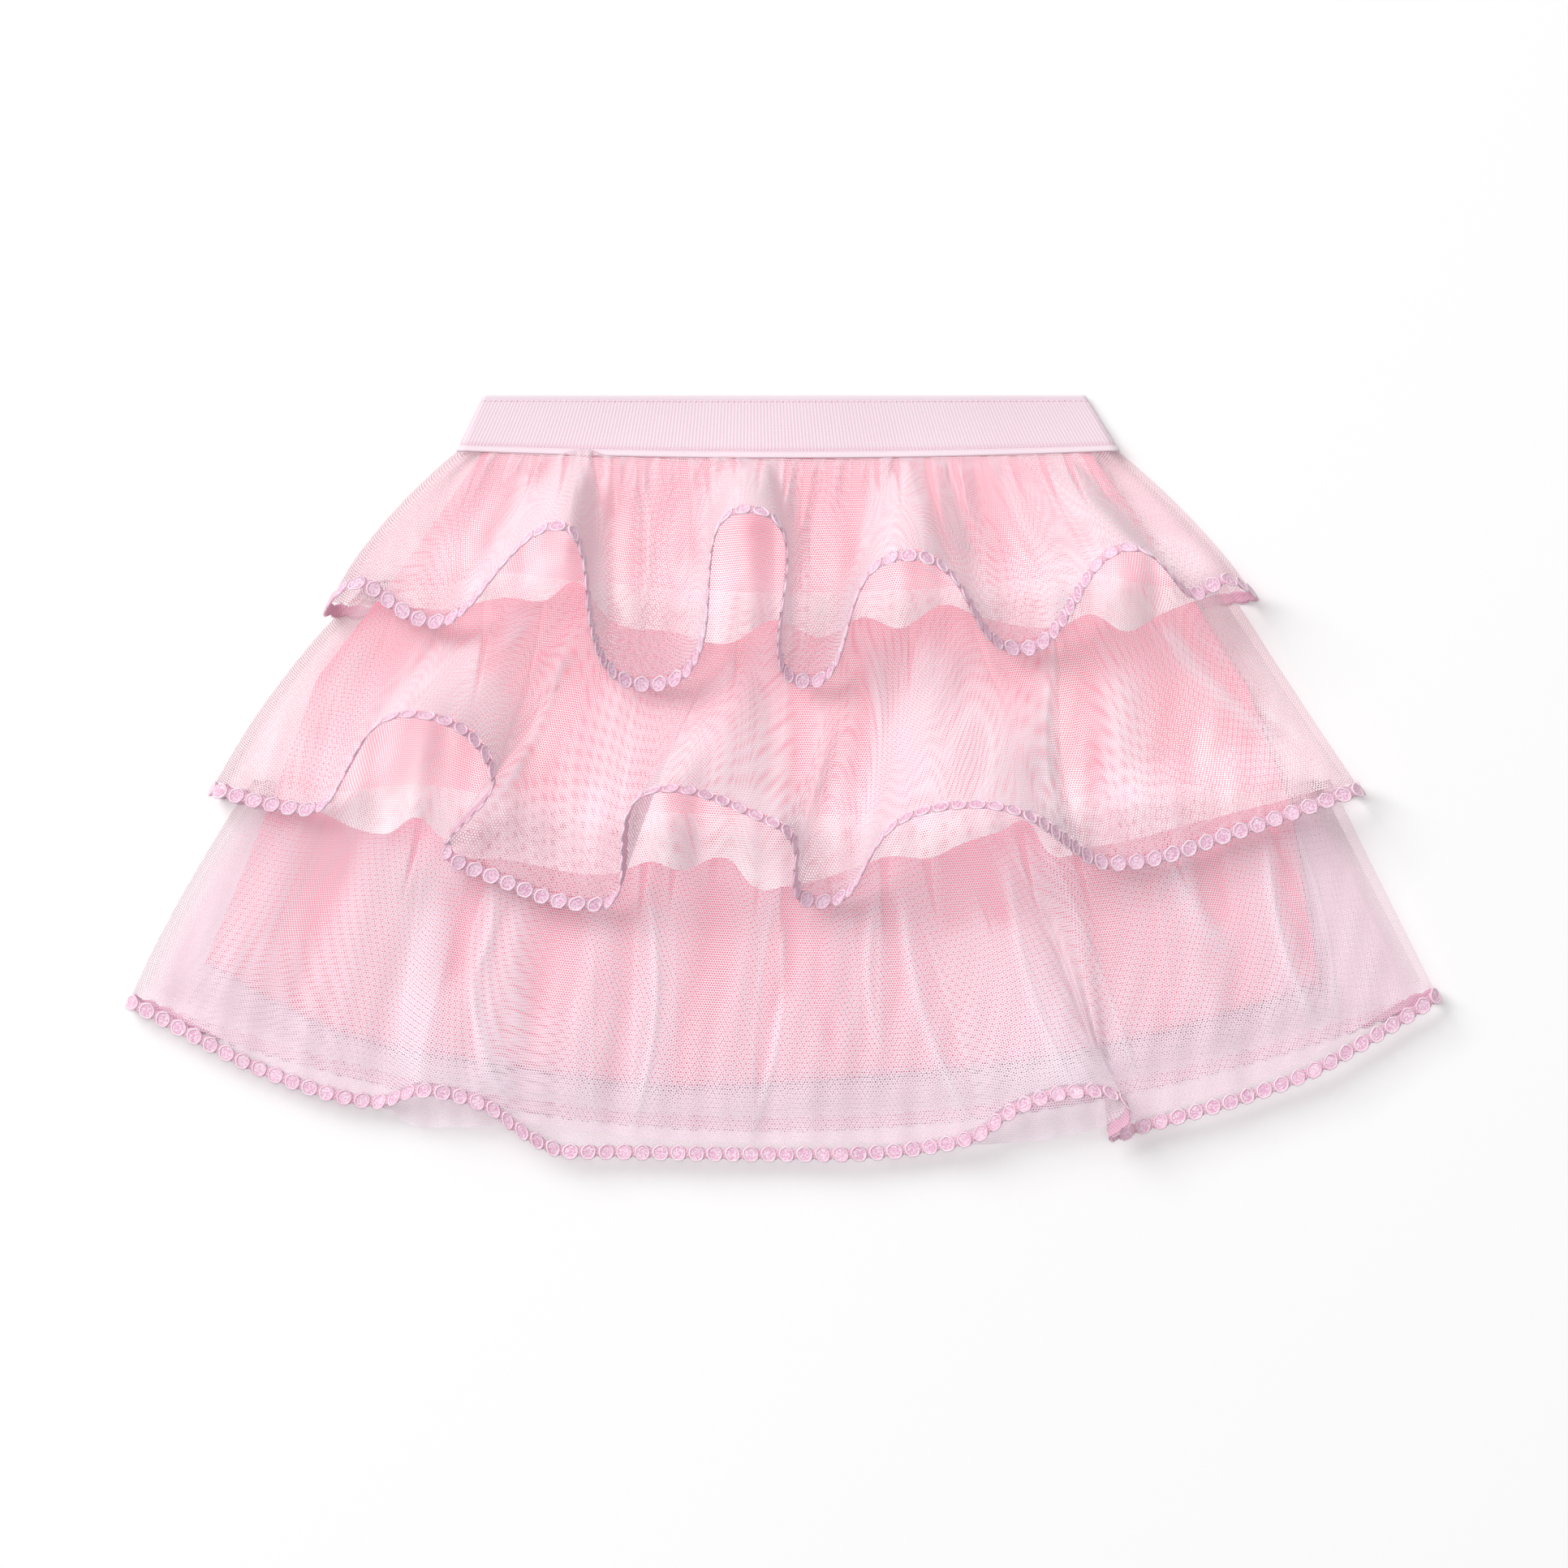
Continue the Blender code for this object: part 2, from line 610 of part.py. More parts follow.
def band_point(part, share, back, swell):
    """Return across, drop and height on the waistband."""
    left = BAND_TOP_LEFT + (BAND_LOW_LEFT - BAND_TOP_LEFT) * share
    right = BAND_TOP_RIGHT + (BAND_LOW_RIGHT - BAND_TOP_RIGHT) * share
    across = left + (right - left) * part
    sag = BAND_SAG * (1 - (2 * part - 1) ** 2)
    drop = (BAND_HEIGHT + sag - SEAM_GAP) * share
    low = BAND_WALL / 2
    high = BAND_TOP_FRONT + (BAND_LOW_FRONT - BAND_TOP_FRONT) * share ** BAND_FRONT_POWER + swell
    radius = (high - low) / 2
    turn = side_round(np.minimum(across - left, right - across), radius)
    reach = -radius if back else radius
    return np.stack([across, drop, (low + high) / 2 + reach * turn], axis=-1)


def end_spread(count, edge):
    """Return even shares from 0 to 1 with one more close to each end."""
    return np.concatenate([[0.0, edge], np.arange(1, count) / count, [1.0 - edge, 1.0]])


def back_spread(count, edge):
    """Return shares from right to left, close together at both side folds."""
    inner = np.linspace(0.0, 1.0, count)[1:-1]
    close = edge * FOLD_EDGE_SHARE
    return np.concatenate([[close, edge], inner, [1.0 - edge, 1.0 - close]])[::-1]


def quads_of(vertex, first, second, third, fourth, flip):
    """Return two triangles that share the shorter diagonal of a quad."""
    direct = np.linalg.norm(vertex[first] - vertex[third])
    other = np.linalg.norm(vertex[second] - vertex[fourth])
    if direct <= other:
        faces = [(first, second, third), (first, third, fourth)]
    else:
        faces = [(first, second, fourth), (second, third, fourth)]
    return [face[::-1] for face in faces] if flip else faces


def wall_normals(rings):
    """Return the step from the middle of the wall to its outside for a wall 1 thick."""
    ahead = np.roll(rings, -1, axis=1) - rings
    ahead = ahead / np.linalg.norm(ahead, axis=2, keepdims=True)
    behind = np.roll(ahead, 1, axis=1)
    down = np.empty_like(rings)
    down[1:-1] = rings[2:] - rings[:-2]
    down[0] = rings[1] - rings[0]
    down[-1] = rings[-1] - rings[-2]
    normal = np.cross(ahead + behind, down)
    normal[0, :, 1] = 0.0
    normal = normal / np.linalg.norm(normal, axis=2, keepdims=True)
    if np.sum(normal * (rings - rings.mean(axis=(0, 1)))) < 0:
        normal = -normal
    bend = np.sqrt(np.clip((1 + np.sum(ahead * behind, axis=2)) / 2, 0.5, 1.0))
    return normal / bend[..., None] / 2


def stack_rings(rings):
    """Return rings as an array of points with Y towards the waist."""
    rings = np.array(rings)
    return np.stack([rings[..., 0], -rings[..., 1], rings[..., 2]], axis=-1)


def make_piece(name, rings, steps, wall, finish):
    """Build one closed ring of cloth from its middle surface, with the wall to both sides."""
    outside = rings + steps * wall
    inside = rings - steps * wall
    rows, columns = rings.shape[:2]
    vertex = np.concatenate([outside.reshape(-1, 3), inside.reshape(-1, 3)])
    inner = rows * columns
    faces = []
    for row in range(rows - 1):
        for column in range(columns):
            after = (column + 1) % columns
            corners = [row * columns + column, row * columns + after]
            corners += [corners[1] + columns, corners[0] + columns]
            front = quads_of(vertex, *corners, False)
            faces += front
            faces += [(c + inner, b + inner, a + inner) for a, b, c in front]
    for row, flip in ((0, True), (rows - 1, False)):
        for column in range(columns):
            after = (column + 1) % columns
            start = row * columns + column
            end = row * columns + after
            faces += quads_of(vertex, start, end, end + inner, start + inner, flip)
    mesh = bpy.data.meshes.new(name)
    mesh.from_pydata((vertex * MILLIMETRE).tolist(), [], faces)
    if signed_volume(vertex, faces) < 0:
        mesh.flip_normals()
    mesh.update()
    for polygon in mesh.polygons:
        polygon.use_smooth = True
    item = bpy.data.objects.new(name, mesh)
    bpy.context.scene.collection.objects.link(item)
    item.data.materials.append(make_material(name, finish))


def signed_volume(vertex, faces):
    """Return the volume inside a closed mesh, negative where its faces point inwards."""
    corners = vertex[np.array(faces)]
    return float(np.sum(corners[:, 0] * np.cross(corners[:, 1], corners[:, 2])) / 6.0)


def make_material(name, finish):
    """Return a plain material for one piece."""
    material = bpy.data.materials.new(name)
    material.use_nodes = True
    shader = material.node_tree.nodes["Principled BSDF"]
    shader.inputs["Base Color"].default_value = finish.colour
    shader.inputs["Roughness"].default_value = finish.roughness
    shader.inputs["Metallic"].default_value = 0.0
    return material


def outer_columns(level):
    """Return the front columns of a tier with one more beside each side fold."""
    last = HEMS[level].columns
    ends = [last - TULLE_EDGE, float(last)]
    return np.concatenate([[0.0, TULLE_EDGE], np.arange(1, last), ends])


def edging_share(points, level, columns):
    """Return, by column, the share of a tier's length that a millimetre at the hem takes."""
    step = 0.04
    there = points(level, columns, np.full_like(columns, 1.0 + step / 2))
    here = points(level, columns, np.full_like(columns, 1.0 - step / 2))
    return step / np.linalg.norm(there - here, axis=-1)


def build_tier(level):
    """Build the outer net, the under net and the edging of one tier."""
    tier = TIERS[level]
    front = outer_columns(level)
    back = back_spread(BACK_COLUMNS, TIER_BACK_EDGE)

    def ring(front_share, back_share):
        return np.concatenate([
            front_point(level, front, front_share),
            back_point(level, back, back_share),
        ])

    front_unit = edging_share(front_point, level, front)
    back_unit = edging_share(back_point, level, back)
    half = EDGING_WIDTH / 2
    rings = []
    for row in TIER_ROWS:
        rings.append(ring(row * (1 - half * front_unit), row * (1 - half * back_unit)))
    start = half - SEAM_GAP
    rings.append(ring(1 - start * front_unit, 1 - start * back_unit))
    rings.append(ring(1 + half * front_unit, 1 + half * back_unit))
    rings = stack_rings(rings)
    steps = wall_normals(rings)
    last = len(TIER_ROWS)
    steps[last] = steps[last - 1]
    make_piece(f"{tier.name}_tier_tulle", rings[:last], steps[:last], TULLE_WALL, TULLE_FINISH)
    make_piece(f"{tier.name}_tier_edging", rings[last:], steps[last:], TULLE_WALL, EDGING_FINISH)

    front_parts = end_spread(UNDER_COLUMNS, UNDER_EDGE)
    back_parts = back_spread(BACK_COLUMNS, TIER_BACK_EDGE)
    rings = []
    for row in TIER_ROWS:
        share = np.full_like(front_parts, row)
        back_share = np.full_like(back_parts, row)
        rings.append(np.concatenate([
            under_point(level, front_parts, share, False),
            under_point(level, back_parts, back_share, True),
        ]))
    rings = stack_rings(rings)
    make_piece(f"{tier.name}_tier_under_net", rings, wall_normals(rings), TULLE_WALL, NET_FINISH)


def build_lining():
    """Build the opaque lining that the two lower tiers are sewn to."""
    front = end_spread(LINING_COLUMNS, LINING_EDGE)
    back = back_spread(LINING_BACK_COLUMNS, LINING_BACK_EDGE)
    rings = []
    for share in np.linspace(0.0, 1.0, LINING_ROWS):
        rings.append(np.concatenate([
            lining_point(front, np.full_like(front, share), False),
            lining_point(back, np.full_like(back, share), True),
        ]))
    rings = stack_rings(rings)
    make_piece("lining", rings, wall_normals(rings), LINING_WALL, LINING_FINISH)


def build_waistband():
    """Build the elastic waistband, with both its ends square to its height."""
    front = end_spread(BAND_COLUMNS, BAND_EDGE)
    back = back_spread(BACK_COLUMNS, BAND_BACK_EDGE)
    rings = []
    for row in BAND_ROWS:
        rings.append(np.concatenate([
            band_point(front, np.full_like(front, row.share), False, row.swell),
            band_point(back, np.full_like(back, row.share), True, row.swell),
        ]))
    rings = stack_rings(rings)
    steps = wall_normals(rings)
    steps[-1, :, 1] = 0.0
    make_piece("waistband", rings, steps, BAND_WALL, BAND_FINISH)


def centre_on_floor():
    """Move every piece so that the skirt's box has its bottom centre at the origin."""
    items = [item for item in bpy.data.objects if item.type == "MESH"]
    corners = np.concatenate([
        np.array([vertex.co[:] for vertex in item.data.vertices]) for item in items
    ])
    low = corners.min(axis=0)
    high = corners.max(axis=0)
    shift = -np.array([(low[0] + high[0]) / 2, (low[1] + high[1]) / 2, low[2]])
    for item in items:
        for vertex in item.data.vertices:
            vertex.co = vertex.co + type(vertex.co)(shift)
        item.data.update()


def main():
    """Clear the scene and build the skirt."""
    for item in list(bpy.data.objects):
        bpy.data.objects.remove(item)
    build_waistband()
    build_lining()
    for level in range(len(TIERS)):
        build_tier(level)
    centre_on_floor()


main()
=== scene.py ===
"""Looks of a small child's skirt of three gathered tulle tiers, laid out flat on its back.

Lengths are millimetres until a mesh is made. X runs across the skirt, a drop is the distance
below the top edge of the waistband, and Z is height above the surface. Every cloth is a ring
whose front lies on its back. A column counts along a wavy hem from the left side fold, and a
share runs from 0 at a seam to 1 at the middle of the hem's edging.
"""
from __future__ import annotations

import logging
import math
from dataclasses import dataclass
from enum import Enum
from typing import Callable, NamedTuple, Protocol, TypeVar, Union

import bmesh
import bpy
import numpy as np
from mathutils import Matrix, Vector


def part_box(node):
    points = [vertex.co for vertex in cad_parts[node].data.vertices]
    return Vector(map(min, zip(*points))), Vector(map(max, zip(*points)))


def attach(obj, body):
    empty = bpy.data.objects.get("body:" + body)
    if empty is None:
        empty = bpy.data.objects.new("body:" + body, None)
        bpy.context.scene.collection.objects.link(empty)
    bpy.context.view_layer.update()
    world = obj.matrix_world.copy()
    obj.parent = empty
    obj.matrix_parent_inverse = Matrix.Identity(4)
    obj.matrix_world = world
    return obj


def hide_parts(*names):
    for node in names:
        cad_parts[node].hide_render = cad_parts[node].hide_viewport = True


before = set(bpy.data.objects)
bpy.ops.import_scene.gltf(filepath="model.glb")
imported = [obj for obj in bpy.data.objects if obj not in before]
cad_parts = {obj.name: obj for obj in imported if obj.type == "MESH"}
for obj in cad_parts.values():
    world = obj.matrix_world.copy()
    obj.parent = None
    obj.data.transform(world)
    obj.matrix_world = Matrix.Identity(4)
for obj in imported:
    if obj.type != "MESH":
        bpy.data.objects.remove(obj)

log = logging.getLogger("skirt")
Array = np.ndarray
Colour = tuple[float, float, float, float]
Row = TypeVar("Row")
Input = Union[float, Colour, bpy.types.NodeSocket]
MM = 0.001
BODY = "root"
SHEEN_ROUGHNESS = 0.45

# Walls and clearances of the layers, between the middles of neighbouring cloths
TULLE_WALL = 1.0
LINING_WALL = 1.0
SEAM_GAP = 0.3
BACK_PITCH = 1.5
FRONT_PITCH = 2.4
LINING_FLOOR_GAP = 0.6
LINING_INNER_GAP = 0.7
NET_OPENING = 0.4
TULLE_OPENING = 1.5
TULLE_OPENING_OVER_SEAM = 0.9
OPENING_SHARE = 0.1

# Edging, side folds and gathers
EDGING_WIDTH = 5.6
SIDE_TURN = 5.0
UNDER_INSET = 4.4
UNDER_TURN = 4.6
COLUMNS_PER_GATHER = 3
SEAM_PUFF = 0.45
SEAM_PUFF_END = 0.09
PUFF_FADE_START = 0.12
PUFF_FADE_END = 0.55
LINING_BACK_SHORTER = 3.0

# Where the cloth starts to lie on other cloth, and how the bottom of the skirt comes down
SEAM_RAMP_START = 20.0
SEAM_RAMP_END = 2.0
BACK_RAMP_START = 1.0
BACK_RAMP_END = 25.0
SINK = 1.4
SINK_START = 4.0
SINK_END = 16.0

# How far the tier above holds a tier's front down, and how its waves rise past that line
COVER_REACH = 7.0
COVER_EDGING_MARGIN = 4.0
COVER_NET_MARGIN = 3.0
COVER_STEP = 4.0
COVER_HALF_SPAN = 240.0
COVER_SAMPLES = 1200
SHORTEST_FREE_RUN = 12.0
FREE_LIMIT = 1.15
WAVE_POWER = 1.4
TOP_WAVE_START = 1.3
FOLD_START = 0.25
FOLD_FADE = 0.55
CALM_COLUMNS = 3.0
BOW_COLUMNS = 9.0

# Arches of a hem that lift the net under it
ARCH_RISE = 20.0
ARCH_SHARE = 0.40
ARCH_LIFT = 0.24
ARCH_LIFT_POWER = 1.6
ARCH_TOP_WIDTH = 0.3
ARCH_WIDER = 6.0
ARCH_MARGIN = 4.0

# Shapes of the creases, and of the tucks under a seam
CREASE_BEND = 0.06
CREASE_POWER = 1.6
CREASE_START = (-0.12, 0.18)
CREASE_END = (0.7, 1.1)
TUCK_REACH = 1.3
TUCK_POWER = 1.3
TUCK_WIDTH = 1.9
TUCK_NARROWING = 1.1
TUCK_START = (-0.2, 0.1)
TUCK_END = (0.35, 1.2)
TUCK_DEPTH = 1.25


class Turn(NamedTuple):
    """A turn of a wavy hem: where it is, its rise, its heading and its straight runs."""

    across: float
    drop: float
    rise: float
    heading: float
    before: float
    after: float


class Edge(NamedTuple):
    """A point of an edge that is nearly straight."""

    across: float
    drop: float


class Section(NamedTuple):
    """A height where the lining's sides change direction."""

    drop: float
    left: float
    right: float


class Crease(NamedTuple):
    """A ridge, or a trough where its height is negative, from one place to another."""

    across: float
    drop: float
    end_across: float
    end_drop: float
    width: float
    height: float


class Tuck(NamedTuple):
    """A short pinched crease below a seam: its place, run, lean across and depth."""

    across: float
    run: float
    lean: float
    depth: float


class Band(NamedTuple):
    """A part of a net that lies doubled and looks pale, or lies close and is painted deep, partly for the
    pink lining showing through and partly as painted shade in a trough or below the tier above.

    It runs from the seam to the hem. Its tone is above 0 where it is pale and below 0 where it is painted
    deep, and its lines are the strengths of the creases on its left and right sides.
    """

    across: float
    end_across: float
    half: float
    end_half: float
    bend: float
    start: float
    end: float
    tone: float
    soft: float
    left_line: float
    right_line: float


class Puff(NamedTuple):
    """A place where a net puffs up over the seam that it is sewn into."""

    across: float
    half: float
    rise: float


class Ripple(NamedTuple):
    """A slow wave along the hem that makes the soft folds uneven."""

    turn: float
    start: float
    tier_step: float
    floor: float


def table(kind: Callable[..., Row], *rows: tuple[float, ...]) -> tuple[Row, ...]:
    """Turn rows of numbers into the entries of a table.

    Args:
        kind: What each row is.
        *rows: The numbers of each entry.

    Returns:
        The entries, in the same order.
    """
    return tuple(kind(*map(float, row)) for row in rows)


TOP_HEM = table(
    Turn,
    (-161, 76, 0, 60, 4.5, 4.5), (-149, 67, 5, 0, 5, 7), (-122, 80.5, 1, 0, 13, 16),
    (-78, 48, 38, 0, 17.5, 17.5), (-47.5, 102.5, 0, 0, 31.5, 36), (-13, 42.5, 42, 0, 24.5, 33),
    (9.5, 101.5, 0, 0, 28.5, 18.5), (43.5, 58, 32, 0, 26, 24.5), (84, 90, 0, 0, 21.5, 17.5),
    (120.5, 55.5, 34, 0, 17.5, 11.5), (144, 71, 6, 0, 7, 3.5), (155, 66, 9, 0, 3.5, 3.5),
    (166.5, 71, 0, -35, 4.5, 4.5),
)
MIDDLE_HEM = table(
    Turn,
    (-201.5, 139.5, 0, -5, 4.5, 4.5), (-167, 146.5, 1, 0, 11.5, 16), (-131, 113.5, 30, 0, 21.5, 20),
    (-101.5, 136.5, 22, -88, 10, 8), (-118.5, 160, 3, -85, 6.5, 4),
    (-107.5, 168, 1, -20, 4.5, 17.5), (-66, 180, 0, 0, 17.5, 21.5), (-40, 139.5, 32, 0, 27.5, 13),
    (-4, 151, 22, -22, 13, 6), (4.5, 163.5, 10, -95, 6.5, 6.5), (13, 179, 0, 0, 11, 24.5),
    (66.5, 145, 30, 0, 47.5, 27.5), (116, 165.5, 0, 0, 14.5, 17.5),
    (159.5, 154.5, 0, 17, 14.5, 14.5), (204, 139.5, 0, 12, 8.5, 8.5),
)
BOTTOM_HEM = table(
    Turn,
    (-231.5, 214.5, 0, -20, 4.5, 4.5), (-190, 236, 0, -25, 13, 13), (-143.5, 250, 0, -3, 14.5, 5),
    (-127.5, 245.5, 8, 0, 5, 10), (-100.5, 253.5, 6, -42, 4.5, 6), (-75.5, 267.5, 0, 0, 8.5, 23),
    (-6, 268.5, 0, 0, 23, 23), (47.5, 266.5, 0, 8, 17.5, 10), (72.5, 259, 5, 42, 6, 6),
    (108, 245.5, 13, 0, 20, 7), (121.5, 253.5, 10, -90, 6, 4), (115, 260.5, 4.5, -130, 2.5, 1.5),
    (117, 261.5, 1, -8, 1.5, 3), (127, 258.5, 1, 14, 4, 11.5), (185, 240, 1, 25, 17.5, 11.5),
    (231.5, 212, 0, 40, 8.5, 8.5),
)

# Raw edges of the nets under the tiers, with the waves that show inside the arches
TOP_UNDER_HEM = table(
    Edge,
    (-157, 71.5), (-120, 76), (-98, 72), (-84, 73), (-74, 66.5), (-62, 79.5), (-40, 84), (-18, 88),
    (-3, 80), (14, 86), (30, 79), (42, 83), (58, 74.5), (72, 79), (100, 82), (112, 78), (122, 84),
    (137, 77.5), (150, 72.5), (164.5, 69.5),
)
MIDDLE_UNDER_HEM = table(
    Edge,
    (-199.5, 137.5), (-165, 148), (-150, 154.5), (-141, 155), (-132, 149.5), (-117, 162),
    (-99, 164.5), (-60, 169), (-47, 165), (-38, 168), (-18, 165.5), (-12, 173), (2, 173.5),
    (27.5, 166.5), (36, 163.5), (53, 163.5), (64, 158.5), (77, 154.5), (88, 151.5), (94, 161),
    (110, 160), (148.5, 151), (201, 137.5),
)
BOTTOM_UNDER_HEM = table(
    Edge,
    (-229.5, 212.5), (-191.5, 233), (-156, 250), (-141, 253.5), (-136, 257), (-116.5, 259),
    (-90, 258), (-53, 262.5), (27.5, 264.5), (96.5, 263), (126, 256), (183, 237), (229, 210),
)
LINING_HEM = table(
    Edge,
    (-203.5, 201), (-155, 226), (-100, 237), (-41.5, 244.5), (26.5, 241.5), (96, 234), (149, 221.5),
    (189.5, 208.5),
)
LINING_SIDES = table(
    Section,
    (20, -105, 108), (67, -136.5, 141), (104.5, -165, 165), (147.5, -180, 180), (208, -204.5, 190),
)

# Creases placed on the front of each tier
TOP_CREASES = table(
    Crease,
    (-99, 30, -118, 68, 5, -1.5), (-89, 30, -103, 62, 4, 1.3), (-82, 22, -94, 55, 3, -1.4),
    (-72, 21, -68, 36, 1.6, 1.3), (-56, 40, -55, 82, 3.2, -1.9), (-50, 24, -51, 84, 1.4, 1.5),
    (-34, 26, -29.5, 62, 2.6, -1.6), (-4, 24, -10, 40, 3, 1.2), (8.5, 22, 3, 50, 1.8, -1.6),
    (26, 24, 21, 62, 3, -1.8), (39, 26, 36, 54, 4, 1.2), (50.5, 26, 65, 68, 2.4, -1.9),
    (57, 25, 76, 72, 2.2, 1.4), (70, 26, 96, 70, 3, -1.3), (76, 24, 105, 74, 2.2, 1.4),
    (87, 24, 110, 58, 2.4, -1.4), (97, 24, 124, 52, 3, 1.2), (110, 24, 143, 60, 3, -1.4),
)
MIDDLE_CREASES = table(
    Crease,
    (-148, 84, -184, 136, 6, 1.2), (-132, 84, -160, 136, 5, -1.2), (-116, 88, -134, 112, 6, 1.4),
    (-101, 76, -105, 100, 4, -2.2), (-76, 86, -105, 148, 2.6, 2), (-73, 98, -93, 138, 5, -2),
    (-58, 100, -70, 160, 6, 1.2), (-16, 94, -32, 108, 3, 1.4), (6, 100, 1.5, 146, 3, -2.2),
    (12, 104, 10.5, 150, 4, 1.5), (26, 92, 24.5, 150, 3, -1.4), (32, 88, 30, 150, 2.4, 1.7),
    (52, 88, 44, 130, 7, 1.2), (66, 76, 94, 108, 4, -1.8), (95, 96, 97.5, 152, 2, 1.7),
    (100.5, 94, 105, 158, 3.4, -2.6), (120, 98, 126, 150, 9, 1.6), (131, 80, 195, 134, 2.8, 2),
    (139, 80, 199, 129, 2.4, -1.5), (148, 116, 164, 148, 7, -1.3),
)
BOTTOM_CREASES = table(
    Crease,
    (-196, 160, -214, 208, 4, 1.2), (-157, 154, -179, 196, 7, -2.2),
    (-134, 160, -139, 236, 10, 1.8), (-117, 172, -121, 214, 4, -1.3),
    (-102, 176, -109, 206, 2, 1.6), (-109, 206, -98, 250, 2, 1.6), (-93, 176, -88, 246, 4, 1.1),
    (-76, 176, -78, 222, 5, -1.8), (-64, 176, -66, 244, 5, 1.1), (-47, 176, -53, 260, 1.5, 1.6),
    (-23, 174, -27, 222, 4, -1.8), (-1, 178, -11, 262, 1.6, 2), (2, 178, -5, 224, 3, -1.6),
    (13, 178, 19.5, 236, 3, -1.5), (33, 176, 34, 232, 1.8, 1.6), (37.5, 178, 36, 226, 3, -1.8),
    (42, 178, 68, 261, 2, 1.7), (68, 160, 82, 190, 5, -2.2), (79, 164, 109, 258, 2, 1.5),
    (137, 162, 160, 200, 4, 1.5), (148, 162, 156, 188, 3, -1.7), (171, 162, 190, 226, 1.8, 1.8),
    (177, 164, 192, 206, 4, -1.6), (197, 152, 224, 212, 1.8, 1.3),
)

# Short tucks under a seam, between the gathers
TOP_TUCKS = table(
    Tuck,
    (-105.5, 17, -9, 1.6), (-98, 24, -12, 2), (-87, 12, -4, 1.3), (-76, 15, -3, 1.4),
    (-66, 13, 2, 1.5), (-59, 15, 0, 1.8), (-50.5, 13, 0.5, 1.8), (-42, 10, 1, 1.2),
    (-35.5, 19, 3, 1.9), (-27, 12, 1, 1.4), (-17, 9, 0, 1), (-8, 11, -1, 1.2), (2, 14, -2, 1.4),
    (9, 20, -3, 1.9), (17, 13, -1, 1.7), (26, 14, -1, 2), (33, 11, 1, 1.3), (40, 15, 2, 1.5),
    (51, 19, 5, 2), (60.5, 14, 4, 1.5), (71, 16, 6, 1.8), (81, 13, 5, 1.4), (91, 17, 8, 1.7),
    (100, 16, 8, 1.7), (107.5, 14, 8, 1.5),
)
MIDDLE_TUCKS = table(
    Tuck,
    (-134, 18, -9, 1.2), (-104, 26, -4, 1.8), (-84, 20, -6, 1.3), (-60, 24, -6, 1.3),
    (-14, 20, -4, 1.2), (8, 26, -2, 1.6), (46, 22, -2, 1.3), (68, 26, 10, 1.7), (96, 24, 4, 1.8),
    (128, 20, 12, 1.3),
)
BOTTOM_TUCKS = table(
    Tuck,
    (-158, 20, -10, 1.4), (-128, 22, -6, 1.4), (-104, 24, -5, 1.5), (-80, 22, -3, 1.8),
    (-56, 16, -3, 1.5), (-48, 22, -3, 1.6), (-38, 18, -2, 1.5), (-24, 24, -2, 1.9),
    (-8, 20, -2, 1.5), (2, 26, -3, 1.8), (16, 20, 1, 1.5), (36, 26, 0, 1.9), (50, 20, 4, 1.5),
    (66, 26, 8, 1.9), (84, 20, 6, 1.5), (102, 26, 8, 1.6), (134, 22, 10, 1.6), (148, 24, 8, 1.6),
    (170, 24, 10, 1.5),
)

# Parts that lie doubled and look pale, or lie close and are painted deep as shade, with the crisp creases
# at their sides
TOP_BANDS = table(
    Band,
    (-90, -124, 7, 9, 0, 0.1, 0.8, -0.5, 0.8, 0, 0),
    (-76, -84, 4.5, 7, -2, 0.02, 0.9, 0.7, 0.5, 0.5, 0),
    (-69, -71, 3.2, 3.6, 0, 0.1, 1, 0.8, 0.2, 0.7, 0.9),
    (-57.5, -56, 4.5, 6, 0, 0.03, 0.9, -0.9, 0.7, 0, 0),
    (-48.5, -50, 0.7, 0.7, -2.2, 0.02, 0.95, 0.9, 0.9, 0, 0),
    (-41.5, -38, 5, 6, 0, 0.05, 0.85, -0.6, 0.8, 0, 0),
    (-11, -10, 13.5, 13, 0, 0.06, 1, 0.55, 0.15, 0.7, 1),
    (12.5, 16, 5.5, 8, 0, 0.02, 0.9, -1.1, 0.6, 0, 0), (7, 6, 0.8, 0.8, 2, 0.02, 1, 1, 0.9, 0, 0),
    (24.5, 24, 2, 4, 0, 0.02, 0.7, -0.7, 0.8, 0, 0),
    (38, 44, 5.5, 9, 0, 0.06, 0.8, 0.4, 0.5, 0.5, 0.6),
    (51, 76, 3, 4, 4, 0.02, 0.8, -0.9, 0.7, 0, 0.8), (68, 100, 5, 8, 0, 0.05, 0.8, -0.4, 0.8, 0, 0),
    (80, 118, 3, 4.5, 2, 0.05, 0.9, 0.5, 0.5, 0.4, 0.5),
    (101, 143, 4, 5, 0, 0.05, 0.9, 0.5, 0.4, 0.5, 0.3),
)
